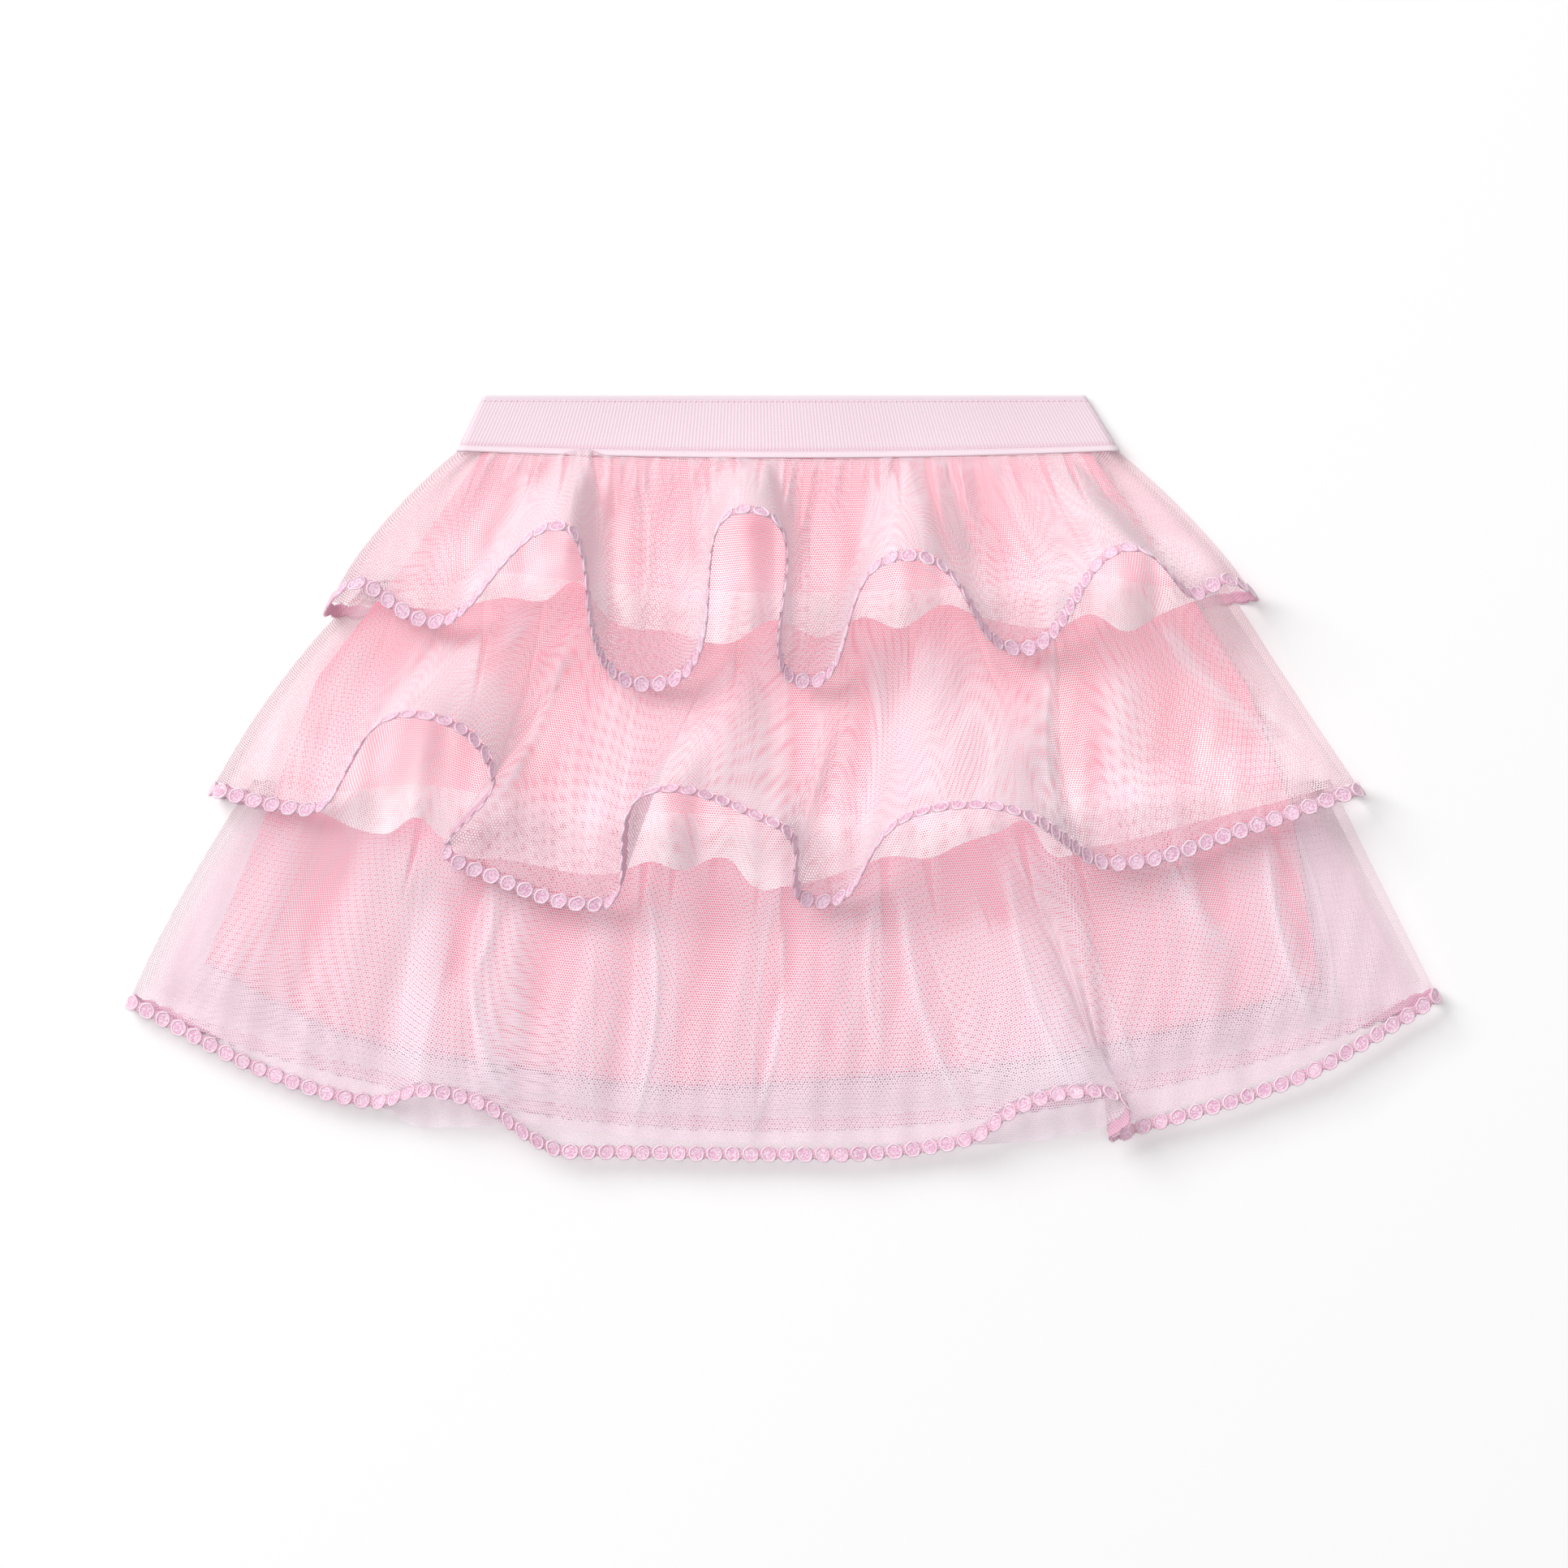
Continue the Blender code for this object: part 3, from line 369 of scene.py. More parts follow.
MIDDLE_BANDS = table(
    Band,
    (-132, -172, 8, 12, 0, 0.2, 0.95, 0.35, 0.8, 0, 0),
    (-106, -126, 4, 9, 0, 0.05, 0.5, -1, 0.8, 0, 0),
    (-80, -132, 4, 6, 0, 0.1, 0.9, 0.75, 0.3, 0.8, 0.5),
    (-74, -106, 6, 10, 3, 0.1, 0.7, -0.7, 0.7, 0, 0),
    (-48, -60, 0.8, 0.8, 0, 0.15, 0.9, 0.8, 0.9, 0, 0),
    (-38, -48, 6, 9, 0, 0.1, 0.7, 0.45, 0.6, 0.3, 0),
    (-20, -32, 5, 8, 0, 0.05, 0.8, -0.5, 0.8, 0, 0), (-2, -10, 6, 8, 0, 0.1, 0.8, 0.5, 0.5, 0, 0.9),
    (13, 14, 7.5, 8, 0, 0.05, 1, -1, 0.5, 0, 0), (61, 63, 32, 33, 2, 0.12, 0.95, 0.4, 0.12, 0.6, 1),
    (50, 46, 8, 10, 0, 0.3, 0.9, 0.35, 0.9, 0, 0), (104, 108, 5, 7, 0, 0.05, 0.95, -1, 0.6, 0, 0),
    (84, 79, 8, 9, 0, 0.1, 0.8, -0.4, 0.9, 0, 0),
    (118, 206, 4.5, 5, 8, 0.08, 0.95, 0.7, 0.35, 0.7, 0.8),
    (126, 146, 8, 12, 0, 0.3, 0.9, -0.5, 0.9, 0, 0),
    (142, 190, 0.8, 0.8, 3, 0.15, 0.8, 0.7, 0.9, 0, 0),
)
BOTTOM_BANDS = table(
    Band,
    (-172, -206, 6, 8, 0, 0.1, 0.8, 0.4, 0.7, 0.5, 0),
    (-153, -176, 6, 9, 0, 0.05, 0.6, -0.4, 0.7, 0, 0),
    (-141, -160, 6, 8, 0, 0.1, 0.8, 0.3, 0.8, 0, 0),
    (-114, -134, 9, 3.5, 0, 0.05, 1, 0.75, 0.3, 0.6, 0.5),
    (-100, -112, 5, 5, -6, 0.1, 0.7, -0.7, 0.7, 0, 0),
    (-75, -91, 3.5, 4, -23.4, 0.1, 1, 0.6, 0.15, 0.9, 0.5),
    (-78, -84, 6, 8, -4, 0.1, 0.7, -0.7, 0.8, 0, 0),
    (-70, -70.5, 3, 3.5, 0, 0.25, 1, 0.4, 0.25, 0.3, 0.6),
    (-58, -60, 5, 7, 0, 0.1, 0.7, -0.5, 0.8, 0, 0),
    (-44.5, -45.5, 6, 8, 0, 0.15, 1, 0.5, 0.2, 0.7, 0.4),
    (-24, -27, 7, 9, 0, 0.08, 0.75, -0.7, 0.8, 0, 0), (1, -14, 4, 4.5, -6, 0.1, 1, 0.45, 0.3, 0, 1),
    (10, 2, 4, 5, -3, 0.1, 0.6, -0.7, 0.8, 0, 0), (19, 26, 3, 4, 0, 0.1, 0.75, 0.4, 0.5, 0, 0.6),
    (34, 34.5, 0.8, 0.8, 0, 0.15, 0.75, 0.8, 0.9, 0, 0),
    (58, 93, 20, 20, 0, 0.25, 1, 0.35, 0.1, 1, 0.3), (60, 66, 6, 5, 0, 0.02, 0.45, -1, 0.7, 0, 0),
    (79, 122, 6.5, 7.5, 4, 0.02, 1, 0.6, 0.12, 0.8, 0.9),
    (108, 128, 5, 6, 0, 0.05, 0.6, -0.8, 0.8, 0, 0),
    (132, 150, 5, 7, 0, 0.1, 0.8, 0.35, 0.7, 0.4, 0), (148, 160, 4, 5, 0, 0.05, 0.5, -1, 0.7, 0, 0),
    (163, 178, 4, 6, 0, 0.05, 0.9, 0.3, 0.7, 0, 0.5),
    (173, 193, 2.6, 3.2, 5, 0.05, 1, 0.5, 0.3, 0, 0.9),
    (182, 224, 1.6, 2, 3, 0.1, 0.95, 0.6, 0.4, 0.7, 0.7),
)

# Places where the upper tier puffs up over its seam, and the slow waves of all soft folds
TOP_PUFFS = table(
    Puff,
    (-100, 6, 0.9), (-69, 10, 3.8), (-47, 5, 1), (-22, 9, 2.4), (14, 5, 0.9), (38, 7, 2.2),
    (75, 6, 1),
)

FOLD_RIPPLE = Ripple(0.93, 0.0, 1.7, 0.0)
DEPTH_RIPPLE = Ripple(0.41, 2.3, 1.0, 0.45)
FINE_RIPPLE = Ripple(2.3, 0.6, 0.9, 0.0)


def ramp(start: float | Array, end: float | Array, value: Array) -> Array:
    """Give a smooth rise from 0 to 1.

    Args:
        start: Where the rise starts.
        end: Where it ends.
        value: Where it is read.

    Returns:
        0 below start, 1 above end.
    """
    share = np.clip((value - start) / (end - start), 0.0, 1.0)
    return share * share * (3.0 - 2.0 * share)


def edge_drop(edges: tuple[Edge, ...], across: Array) -> Array:
    """Read a plain edge, rounded between its points.

    Args:
        edges: The edge's points from left to right.
        across: Places across the skirt.

    Returns:
        The edge's drop at each place.
    """
    places = np.array([edge.across for edge in edges])
    drops = np.array([edge.drop for edge in edges])
    slopes = np.gradient(drops, places)
    across = np.clip(across, places[0], places[-1])
    index = np.clip(np.searchsorted(places, across) - 1, 0, len(places) - 2)
    width = places[index + 1] - places[index]
    share = (across - places[index]) / width
    start = drops[index] * (1 + 2 * share) * (1 - share) ** 2
    end = drops[index + 1] * (3 - 2 * share) * share ** 2
    lean = (slopes[index] * (1 - share) - slopes[index + 1] * share) * share * (1 - share) * width
    return start + end + lean


def ripple_height(ripple: Ripple, column: Array, level: int) -> Array:
    """Read a ripple along a hem.

    Args:
        ripple: The ripple.
        column: Columns along the hem.
        level: The tier's number from the top.

    Returns:
        Heights from the ripple's floor to 1.
    """
    angle = ripple.turn * column + ripple.start + ripple.tier_step * level
    return ripple.floor + (1.0 - ripple.floor) * (0.5 + 0.5 * np.sin(angle))


def side_round(inset: Array, radius: float) -> Array:
    """Give the quarter circle of a side fold.

    Args:
        inset: Distance inside the fold.
        radius: The fold's radius.

    Returns:
        0 at the fold and 1 a radius inside it.
    """
    share = np.clip(inset / radius, 0.0, 1.0)
    return np.sqrt(1.0 - (1.0 - share) ** 2)


def folded(part: Array) -> tuple[Array, Array]:
    """Fold a ring's second half back over its first.

    Args:
        part: From 0 to 1 along the front, then to 2 along the back to the left side.

    Returns:
        Whether each place is on the back, and how far it is from the left side to the right.
    """
    behind = part > 1.0
    return behind, np.where(behind, 2.0 - part, part)


def ring_parts(close: Array, front: Array, back: Array) -> Array:
    """List the places round a ring, close together at its side folds.

    Args:
        close: The places just inside a side fold.
        front: The places on the front.
        back: The places on the back, from 0 to 1.

    Returns:
        Places from 0 to 2.
    """
    mirrored = 1.0 - close[::-1]
    return np.concatenate([close, front, mirrored, 1.0 + np.concatenate([close[1:], back, mirrored])])


def from_fold(place: Array, period: float) -> Array:
    """Give how far each place is from the nearest side fold, where the folds lie a period apart."""
    return np.abs((place + period / 2) % period - period / 2)


class WavyHem:
    """The line of a wavy hem, read by column; every turn falls on a whole column."""

    SAMPLES = 40

    def __init__(self, turns: tuple[Turn, ...], spacing: float) -> None:
        """Trace the hem.

        Args:
            turns: The hem's turns from left to right.
            spacing: How far apart its columns are.
        """
        self.runs: list[Array] = []
        self.first_columns = [0]
        for here, there in zip(turns[:-1], turns[1:]):
            run = self.trace(here, there)
            self.runs.append(run)
            count = max(2, int(round(run[-1, 3] / spacing)))
            self.first_columns.append(self.first_columns[-1] + count)
        self.columns = self.first_columns[-1]
        self.fine = np.linspace(0.0, self.columns, 12 * self.columns + 1)
        across = self.at(self.fine)[:, 0]
        forward = np.maximum.accumulate(across)
        backward = np.minimum.accumulate(across[::-1])[::-1]
        self.upright = (forward + backward) / 2

    def trace(self, here: Turn, there: Turn) -> Array:
        """Trace the run between two turns.

        Args:
            here: The turn that the run leaves.
            there: The turn that it comes to.

        Returns:
            Rows of across, drop, rise and running length.
        """
        share = np.linspace(0.0, 1.0, self.SAMPLES + 1)[:, None]
        lead = [math.cos(math.radians(here.heading)), -math.sin(math.radians(here.heading))]
        trail = [math.cos(math.radians(there.heading)), -math.sin(math.radians(there.heading))]
        start = np.array([here.across, here.drop])
        end = np.array([there.across, there.drop])
        first = start + here.after * np.array(lead)
        last = end - there.before * np.array(trail)
        plan = start * (1 - share) ** 3 + 3 * first * share * (1 - share) ** 2
        plan = plan + 3 * last * share ** 2 * (1 - share) + end * share ** 3
        rise = here.rise + (there.rise - here.rise) * ramp(0.0, 1.0, share)
        line = np.hstack([plan, rise])
        steps = np.linalg.norm(np.diff(line, axis=0), axis=1)
        length = np.concatenate([[0.0], np.cumsum(steps)])[:, None]
        return np.hstack([line, length])

    def at(self, column: Array) -> Array:
        """Read the hem.

        Args:
            column: Columns along the hem.

        Returns:
            Across, drop and rise at each column.
        """
        column = np.asarray(column, dtype=float)
        place = np.zeros(column.shape + (3,))
        for first, last, run in zip(self.first_columns[:-1], self.first_columns[1:], self.runs):
            inside = (column >= first) & (column <= last)
            length = (column[inside] - first) / (last - first) * run[-1, 3]
            for axis in range(3):
                place[inside, axis] = np.interp(length, run[:, 3], run[:, axis])
        return place


@dataclass(frozen=True)
class TierCut:
    """One tier as it is cut and laid, in millimetres."""

    name: str
    hem: tuple[Turn, ...]
    under_hem: tuple[Edge, ...]
    left: float
    right: float
    seam_drop: float
    sag: float
    bow_left: float
    bow_right: float
    back_sag: float
    puff: float
    fold: float
    lean: float
    spacing: float
    creases: tuple[Crease, ...]
    tucks: tuple[Tuck, ...]
    bands: tuple[Band, ...]


CUTS = (
    TierCut(
        "upper", TOP_HEM, TOP_UNDER_HEM, -115.5, 119.0, 20.0, 2.6, 5.5, 3.7, 7.0,
        2.2, 1.6, 0.0, 8.0, TOP_CREASES, TOP_TUCKS, TOP_BANDS,
    ),
    TierCut(
        "middle", MIDDLE_HEM, MIDDLE_UNDER_HEM, -145.5, 155.5, 65.5, 14.5, 5.2, 0.0, 28.0,
        0.5, 3.0, 0.2, 9.0, MIDDLE_CREASES, MIDDLE_TUCKS, MIDDLE_BANDS,
    ),
    TierCut(
        "lower", BOTTOM_HEM, BOTTOM_UNDER_HEM, -187.0, 193.5, 136.0, 23.0, 2.6, 0.0, 45.0,
        0.5, 2.6, 0.75, 6.8, BOTTOM_CREASES, BOTTOM_TUCKS, BOTTOM_BANDS,
    ),
)


class Drape:
    """How the tiers and the lining lie on each other."""

    def __init__(self, cuts: tuple[TierCut, ...]) -> None:
        """Trace the hems.

        Args:
            cuts: The tiers from the top.
        """
        self.cuts = cuts
        self.hems = [WavyHem(cut.hem, cut.spacing) for cut in cuts]
        self.covers = [self.cover_line(level) for level in range(len(cuts))]

    def seam_drop(self, level: int, across: Array) -> Array:
        """Give the drop of a tier's seam, which sags towards the middle.

        Args:
            level: The tier.
            across: Places across.

        Returns:
            The seam's drop at each place.
        """
        cut = self.cuts[level]
        middle = (cut.left + cut.right) / 2
        share = (across - middle) / ((cut.right - cut.left) / 2)
        return cut.seam_drop + cut.sag * np.clip(1.0 - share ** 2, 0.0, 1.0)

    def back_hem_drop(self, level: int, across: Array) -> Array:
        """Give the drop of the middle of the edging on a tier's back.

        Args:
            level: The tier.
            across: Places across.

        Returns:
            The drop at each place.
        """
        cut = self.cuts[level]
        left = cut.hem[0]
        right = cut.hem[-1]
        share = (across - left.across) / (right.across - left.across)
        chord = left.drop + (right.drop - left.drop) * share
        return chord + cut.back_sag * np.clip(4 * share * (1 - share), 0.0, 1.0)

    def cover_line(self, level: int) -> tuple[Array, Array]:
        """Trace how far down the tier above hides a tier's front.

        Args:
            level: The tier.

        Returns:
            Places across and the hidden drop at each.
        """
        nodes = np.arange(-COVER_HALF_SPAN, COVER_HALF_SPAN + 1.0, COVER_STEP)
        if level == 0:
            return nodes, self.seam_drop(0, nodes)
        above = self.hems[level - 1]
        hem = above.at(np.linspace(0.0, above.columns, COVER_SAMPLES))
        margin = EDGING_WIDTH / 2 + COVER_EDGING_MARGIN
        under = edge_drop(self.cuts[level - 1].under_hem, nodes) + COVER_NET_MARGIN
        lowest = []
        for node, plain in zip(nodes, under):
            near = hem[np.abs(hem[:, 0] - node) < COVER_REACH, 1]
            lowest.append(max(near.max() + margin, plain) if len(near) else plain)
        blurred = np.convolve(np.pad(lowest, 2, mode="edge"), np.ones(5) / 5, mode="valid")
        return nodes, np.maximum(blurred, lowest)

    def covered_drop(self, level: int, across: Array) -> Array:
        """Read how far down the tier above hides a tier's front at each place."""
        nodes, drops = self.covers[level]
        return np.interp(across, nodes, drops)

    def bump_under(self, level: int, across: Array, drop: Array) -> Array:
        """Give 1 where the top of a tier lies between this cloth and the lining, else 0."""
        start = self.seam_drop(level, across)
        return ramp(start - SEAM_RAMP_START, start - SEAM_RAMP_END, drop)

    def back_bump(self, level: int, across: Array, drop: Array) -> Array:
        """Tell where the back of the tier above lies under this tier's back.

        Args:
            level: The tier.
            across: Places across.
            drop: Their drops.

        Returns:
            1 where it does, else 0.
        """
        hem = self.back_hem_drop(level - 1, across) + EDGING_WIDTH / 2
        past = ramp(hem + BACK_RAMP_START, hem + BACK_RAMP_END, drop)
        return self.bump_under(level, across, drop) * (1.0 - past)

    def lining_back(self, across: Array, drop: Array) -> Array:
        """Give the height of the lining's back."""
        tiers = 1.0 + self.back_bump(1, across, drop) + self.back_bump(2, across, drop)
        return TULLE_WALL / 2 + 2 * BACK_PITCH * tiers + LINING_FLOOR_GAP

    def lining_front(self, across: Array, drop: Array) -> Array:
        """Give the height of the lining's front."""
        return self.lining_back(across, drop) + LINING_WALL + LINING_INNER_GAP

    def net_front(self, level: int, across: Array, drop: Array, share: Array) -> Array:
        """Give the height of a tier's under net where nothing lifts it.

        Args:
            level: The tier.
            across: Places across.
            drop: Their drops.
            share: Their shares of the tier's length.

        Returns:
            The heights.
        """
        seam = LINING_WALL / 2 + SEAM_GAP + TULLE_WALL / 2
        lift = seam + NET_OPENING * ramp(0.0, OPENING_SHARE, share)
        if level < 2:
            lift = lift + 2 * FRONT_PITCH * self.bump_under(level + 1, across, drop)
        floor = self.lining_front(across, drop)
        if level == 2:
            past = drop - edge_drop(LINING_HEM, across)
            floor = floor - SINK * ramp(SINK_START, SINK_END, past)
        return floor + lift

    def tulle_front(self, level: int, across: Array, drop: Array, share: Array) -> Array:
        """Give the height of a tier's outer net where no fold lifts it.

        Args:
            level: The tier.
            across: Places across.
            drop: Their drops.
            share: Their shares of the tier's length.

        Returns:
            The heights.
        """
        opening = SEAM_GAP + TULLE_WALL + TULLE_OPENING * ramp(0.0, OPENING_SHARE, share)
        if level < 2:
            opening = opening + TULLE_OPENING_OVER_SEAM * self.bump_under(level + 1, across, drop)
        return self.net_front(level, across, drop, share) + opening

    def tier_back(self, level: int, across: Array, drop: Array, inner: bool) -> Array:
        """Give the height of a tier's back.

        Args:
            level: The tier.
            across: Places across.
            drop: Their drops.
            inner: Whether it is the under net's back.

        Returns:
            The heights.
        """
        height = TULLE_WALL / 2 + (BACK_PITCH if inner else 0.0) + np.zeros_like(across)
        if level:
            height = height + 2 * BACK_PITCH * self.back_bump(level, across, drop)
        return height


def crease_relief(creases: tuple[Crease, ...], across: Array, drop: Array) -> Array:
    """Add up the creases over a plan.

    Args:
        creases: The creases.
        across: Places across.
        drop: Their drops.

    Returns:
        The height that the creases give each place.
    """
    relief = np.zeros_like(across)
    for crease in creases:
        run = np.array([crease.end_across - crease.across, crease.end_drop - crease.drop])
        length = float(np.hypot(*run))
        along = ((across - crease.across) * run[0] + (drop - crease.drop) * run[1]) / length
        beside = ((across - crease.across) * run[1] - (drop - crease.drop) * run[0]) / length
        share = along / length
        bend = CREASE_BEND * length * np.sin(math.pi * np.clip(share, 0.0, 1.0)) * np.sign(run[0])
        fade = ramp(*CREASE_START, share) * (1.0 - ramp(*CREASE_END, share))
        reach = (np.abs(beside + bend) / crease.width) ** CREASE_POWER
        relief = relief + crease.height * fade * np.exp(-reach)
    return relief


def tuck_relief(tucks: tuple[Tuck, ...], across: Array, below: Array) -> Array:
    """Add up the short tucks under a seam.

    Args:
        tucks: The tucks.
        across: Places across.
        below: Their distances below the seam.

    Returns:
        How deep the tucks are at each place.
    """
    depth = np.zeros_like(across)
    for tuck in tucks:
        share = np.clip(below / (TUCK_REACH * tuck.run), 0.0, TUCK_REACH)
        middle = tuck.across + tuck.lean * share ** TUCK_POWER
        width = TUCK_WIDTH - TUCK_NARROWING * np.minimum(share, 1.0)
        fade = (1.0 - ramp(*TUCK_END, share)) * ramp(*TUCK_START, below / tuck.run)
        valley = np.clip(1.0 - np.abs(across - middle) / width, 0.0, 1.0) ** TUCK_POWER
        depth = depth + TUCK_DEPTH * tuck.depth * fade * valley
    return depth


class Cloth(NamedTuple):
    """Points of a cloth by row and column, and how close its net looks at each, with painted shade and
    painted light mixed into that value.
    """

    points: Array
    closeness_and_shade: Array


@dataclass
class TierSurface:
    """The surfaces of one tier: its outer net, its under net and the ring round its hem."""

    drape: Drape
    level: int

    # How strongly the doubled parts and fine folds shape the net
    LINE_WIDTH = 0.75
    LINE_TONE = 0.7
    BAND_LIFT = 0.45
    RELIEF = 0.6
    FINE_FOLD = 0.55
    HIDDEN_TOP = 10.0
    # Painted shade just below a lower tier's seam, under the tier above
    SEAM_SHADE = 0.1
    PUFF_SHARE = 0.12
    GATHER_HEIGHT = 0.8

    # How much closer the net looks, which also turns its colour paler or deeper: on a relief (paler ridges,
    # painted shade in troughs), in a tuck (painted shade), in a band (pale where doubled, painted shade
    # where deep), on a raised wave (painted light) and on a gather (paler crests, painted shade in hollows)
    RELIEF_TONE_AND_SHADE = 0.12
    TUCK_SHADE = 0.3
    BAND_TONE_AND_SHADE = 0.15
    WAVE_LIGHT = 0.012
    GATHER_TONE_AND_SHADE = 0.16
    SIDE_TONE = 0.22

    # How the back is gathered, folded and pressed
    BACK_GATHER = 0.45
    BACK_FOLD = 0.35
    BACK_PRESS = 0.3

    # The raw net's folds and crumples
    UNDER_FOLD = 0.9
    UNDER_CRUMPLE = 0.8

    def __post_init__(self) -> None:
        """Look up the tier's cut and hem."""
        self.cut = self.drape.cuts[self.level]
        self.hem = self.drape.hems[self.level]

    def hidden_top(self, top: Array) -> Array:
        """Give how far a net goes on above its seam, under the tier above.

        Args:
            top: Places along the seam.

        Returns:
            The distances, which are 0 at the side folds.
        """
        along = (top - self.cut.left) / (self.cut.right - self.cut.left)
        inside = ramp(0.04, 0.16, np.minimum(along, 1.0 - along))
        return self.HIDDEN_TOP * inside if self.level else np.zeros_like(top)

    def seam_across(self, column: Array) -> Array:
        """Give the place on the seam that each column leaves from."""
        return self.cut.left + (self.cut.right - self.cut.left) * column / self.hem.columns

    def bands(self, across: Array, share: Array) -> Array:
        """Lay parts of the net doubled, or painted deep as shade where they lie close.

        Args:
            across: Places across.
            share: Their shares of the tier's length.

        Returns:
            Above 0 where the net is doubled or creased, and below 0 where it lies close and takes painted
            shade.
        """
        tone = np.zeros_like(across)
        for band in self.cut.bands:
            middle = band.across + (band.end_across - band.across) * share
            middle = middle + 4 * band.bend * share * (1 - share)
            half = band.half + (band.end_half - band.half) * share
            run = band.end - band.start
            strength = ramp(band.start, band.start + 0.3 * run, share)
            strength = strength * (1.0 - ramp(band.end - 0.25 * run, band.end, share))
            beside = (across - middle) / half
            inside = 1.0 - ramp(1.0 - band.soft, 1.0 + band.soft, np.abs(beside))
            left = np.exp(-(((beside + 1.0) * half / self.LINE_WIDTH) ** 2))
            right = np.exp(-(((beside - 1.0) * half / self.LINE_WIDTH) ** 2))
            lines = self.LINE_TONE * (band.left_line * left + band.right_line * right)
            tone = tone + strength * (band.tone * inside + lines)
        return tone

    def plan_front(self, column: Array, share: Array) -> tuple[Array, Array, Array]:
        """Lay out the outer net's front in plan.

        Args:
            column: Columns along the hem.
            share: Shares of the tier's length.

        Returns:
            Places across, drops, and the hem's own across, drop and rise.
        """
        cut = self.cut
        place = self.hem.at(column)
        top = self.seam_across(column)
        bow = 4 * share * (1 - share)
        from_right = self.hem.columns - column
        bow_left = cut.bow_left * np.clip(1 - column / BOW_COLUMNS, 0, 1) ** 2
        bow_right = cut.bow_right * np.clip(1 - from_right / BOW_COLUMNS, 0, 1) ** 2
        upright = np.interp(column, self.hem.fine, self.hem.upright)
        end = upright + (place[..., 0] - upright) * ramp(cut.lean, 1.0, share)
        across = top + (end - top) * share + bow * (bow_right - bow_left)
        start = self.drape.seam_drop(self.level, top) - self.hidden_top(top)
        drop = start + (place[..., 1] - start) * share
        rolled = np.sin(math.pi * np.clip(share / self.PUFF_SHARE, 0.0, 1.0))
        return across, drop - rolled * self.puffed(top), place

    def puffed(self, top: Array) -> Array:
        """Give how far the net puffs up over its seam.

        Args:
            top: Places along the seam.

        Returns:
            The distances.
        """
        rise = np.zeros_like(top)
        for puff in TOP_PUFFS if self.level == 0 else ():
            rise = rise + puff.rise * np.exp(-(((top - puff.across) / puff.half) ** 2))
        return rise

    def wave(self, column: Array, share: Array) -> tuple[Array, Array, Array, Array, Array]:
        """Raise the waves, gathers and soft folds of the outer net.

        Args:
            column: Columns along the hem.
            share: Shares of the tier's length.

        Returns:
            Across, drop, the flat height, the height that is added and the calm at the sides.
        """
        level = self.level
        cut = self.cut
        across, drop, place = self.plan_front(column, share)
        flat = self.drape.tulle_front(level, across, drop, share)
        if level == 0:
            free = share
            wave = place[..., 2] * free * (TOP_WAVE_START + (1.0 - TOP_WAVE_START) * free)
        else:
            cover = self.drape.covered_drop(level, across)
            run = np.maximum(place[..., 1] - cover, SHORTEST_FREE_RUN)
            free = np.clip((drop - cover) / run, 0.0, FREE_LIMIT)
            wave = place[..., 2] * free ** WAVE_POWER
        gather = 0.5 - 0.5 * np.cos(2 * math.pi * column / COLUMNS_PER_GATHER)
        crease = SEAM_PUFF + (1.0 - SEAM_PUFF) * ramp(0.0, SEAM_PUFF_END, share)
        puff = cut.puff * gather * crease * (1.0 - ramp(PUFF_FADE_START, PUFF_FADE_END, share))
        window = ramp(0.0, FOLD_START, free) * (1.0 - FOLD_FADE * ramp(0.5, 1.0, free))
        from_right = self.hem.columns - column
        calm = ramp(0.0, CALM_COLUMNS, column) * ramp(0.0, CALM_COLUMNS, from_right)
        soft = ripple_height(FOLD_RIPPLE, column, level) * ripple_height(DEPTH_RIPPLE, column, level)
        fine = ripple_height(FINE_RIPPLE, column + 1.2 * share, level) - 0.5
        folds = cut.fold * soft * window + self.FINE_FOLD * fine * ramp(0.15, 0.5, share)
        return across, drop, flat, wave + (puff + folds) * calm, calm

    def front(self, column: Array, share: Array) -> Cloth:
        """Shape the outer net's front.

        Args:
            column: Columns along the hem.
            share: Shares of the tier's length.

        Returns:
            Across, drop and height of each point, and its closeness.
        """
        across, drop, flat, added, calm = self.wave(column, share)
        below = drop - self.drape.seam_drop(self.level, self.seam_across(column))
        visible = ramp(0.0, 0.08, share)
        relief = crease_relief(self.cut.creases, across, drop)
        tucks = tuck_relief(self.cut.tucks, across, below)
        band = self.bands(across, share)
        held = calm * (1.0 - ramp(0.95, 1.0, share))
        gathered = self.GATHER_HEIGHT * self.fine_gathers(column) * (1.0 - ramp(0.02, 0.25, share))
        height = flat + added + calm * visible * (self.RELIEF * relief + gathered - tucks)
        height = height + self.BAND_LIFT * band * held
        height = np.maximum(height, flat - 0.6 * visible)
        left = self.plan_front(np.zeros_like(column), share)[0]
        right = self.plan_front(np.full_like(column, self.hem.columns), share)[0]
        inset = np.minimum(across - left, right - across)
        side = (flat + self.drape.tier_back(self.level, across, drop, False)) / 2
        turn = side_round(np.maximum(inset, 0.0), SIDE_TURN)
        points = np.stack([across, drop, side + (height - side) * turn], axis=-1)
        # The tone rises on ridges, doubled bands and raised waves and falls in troughs, tucks and gather
        # hollows. The ridges and bands are partly doubled net; otherwise this is painted light on raised
        # parts and painted shade in hollows.
        closeness_and_shade = self.RELIEF_TONE_AND_SHADE * np.clip(relief, -2.5, 2.0) - self.TUCK_SHADE * tucks
        closeness_and_shade = closeness_and_shade + self.BAND_TONE_AND_SHADE * band * held + self.WAVE_LIGHT * np.clip(added, 0.0, 16.0)
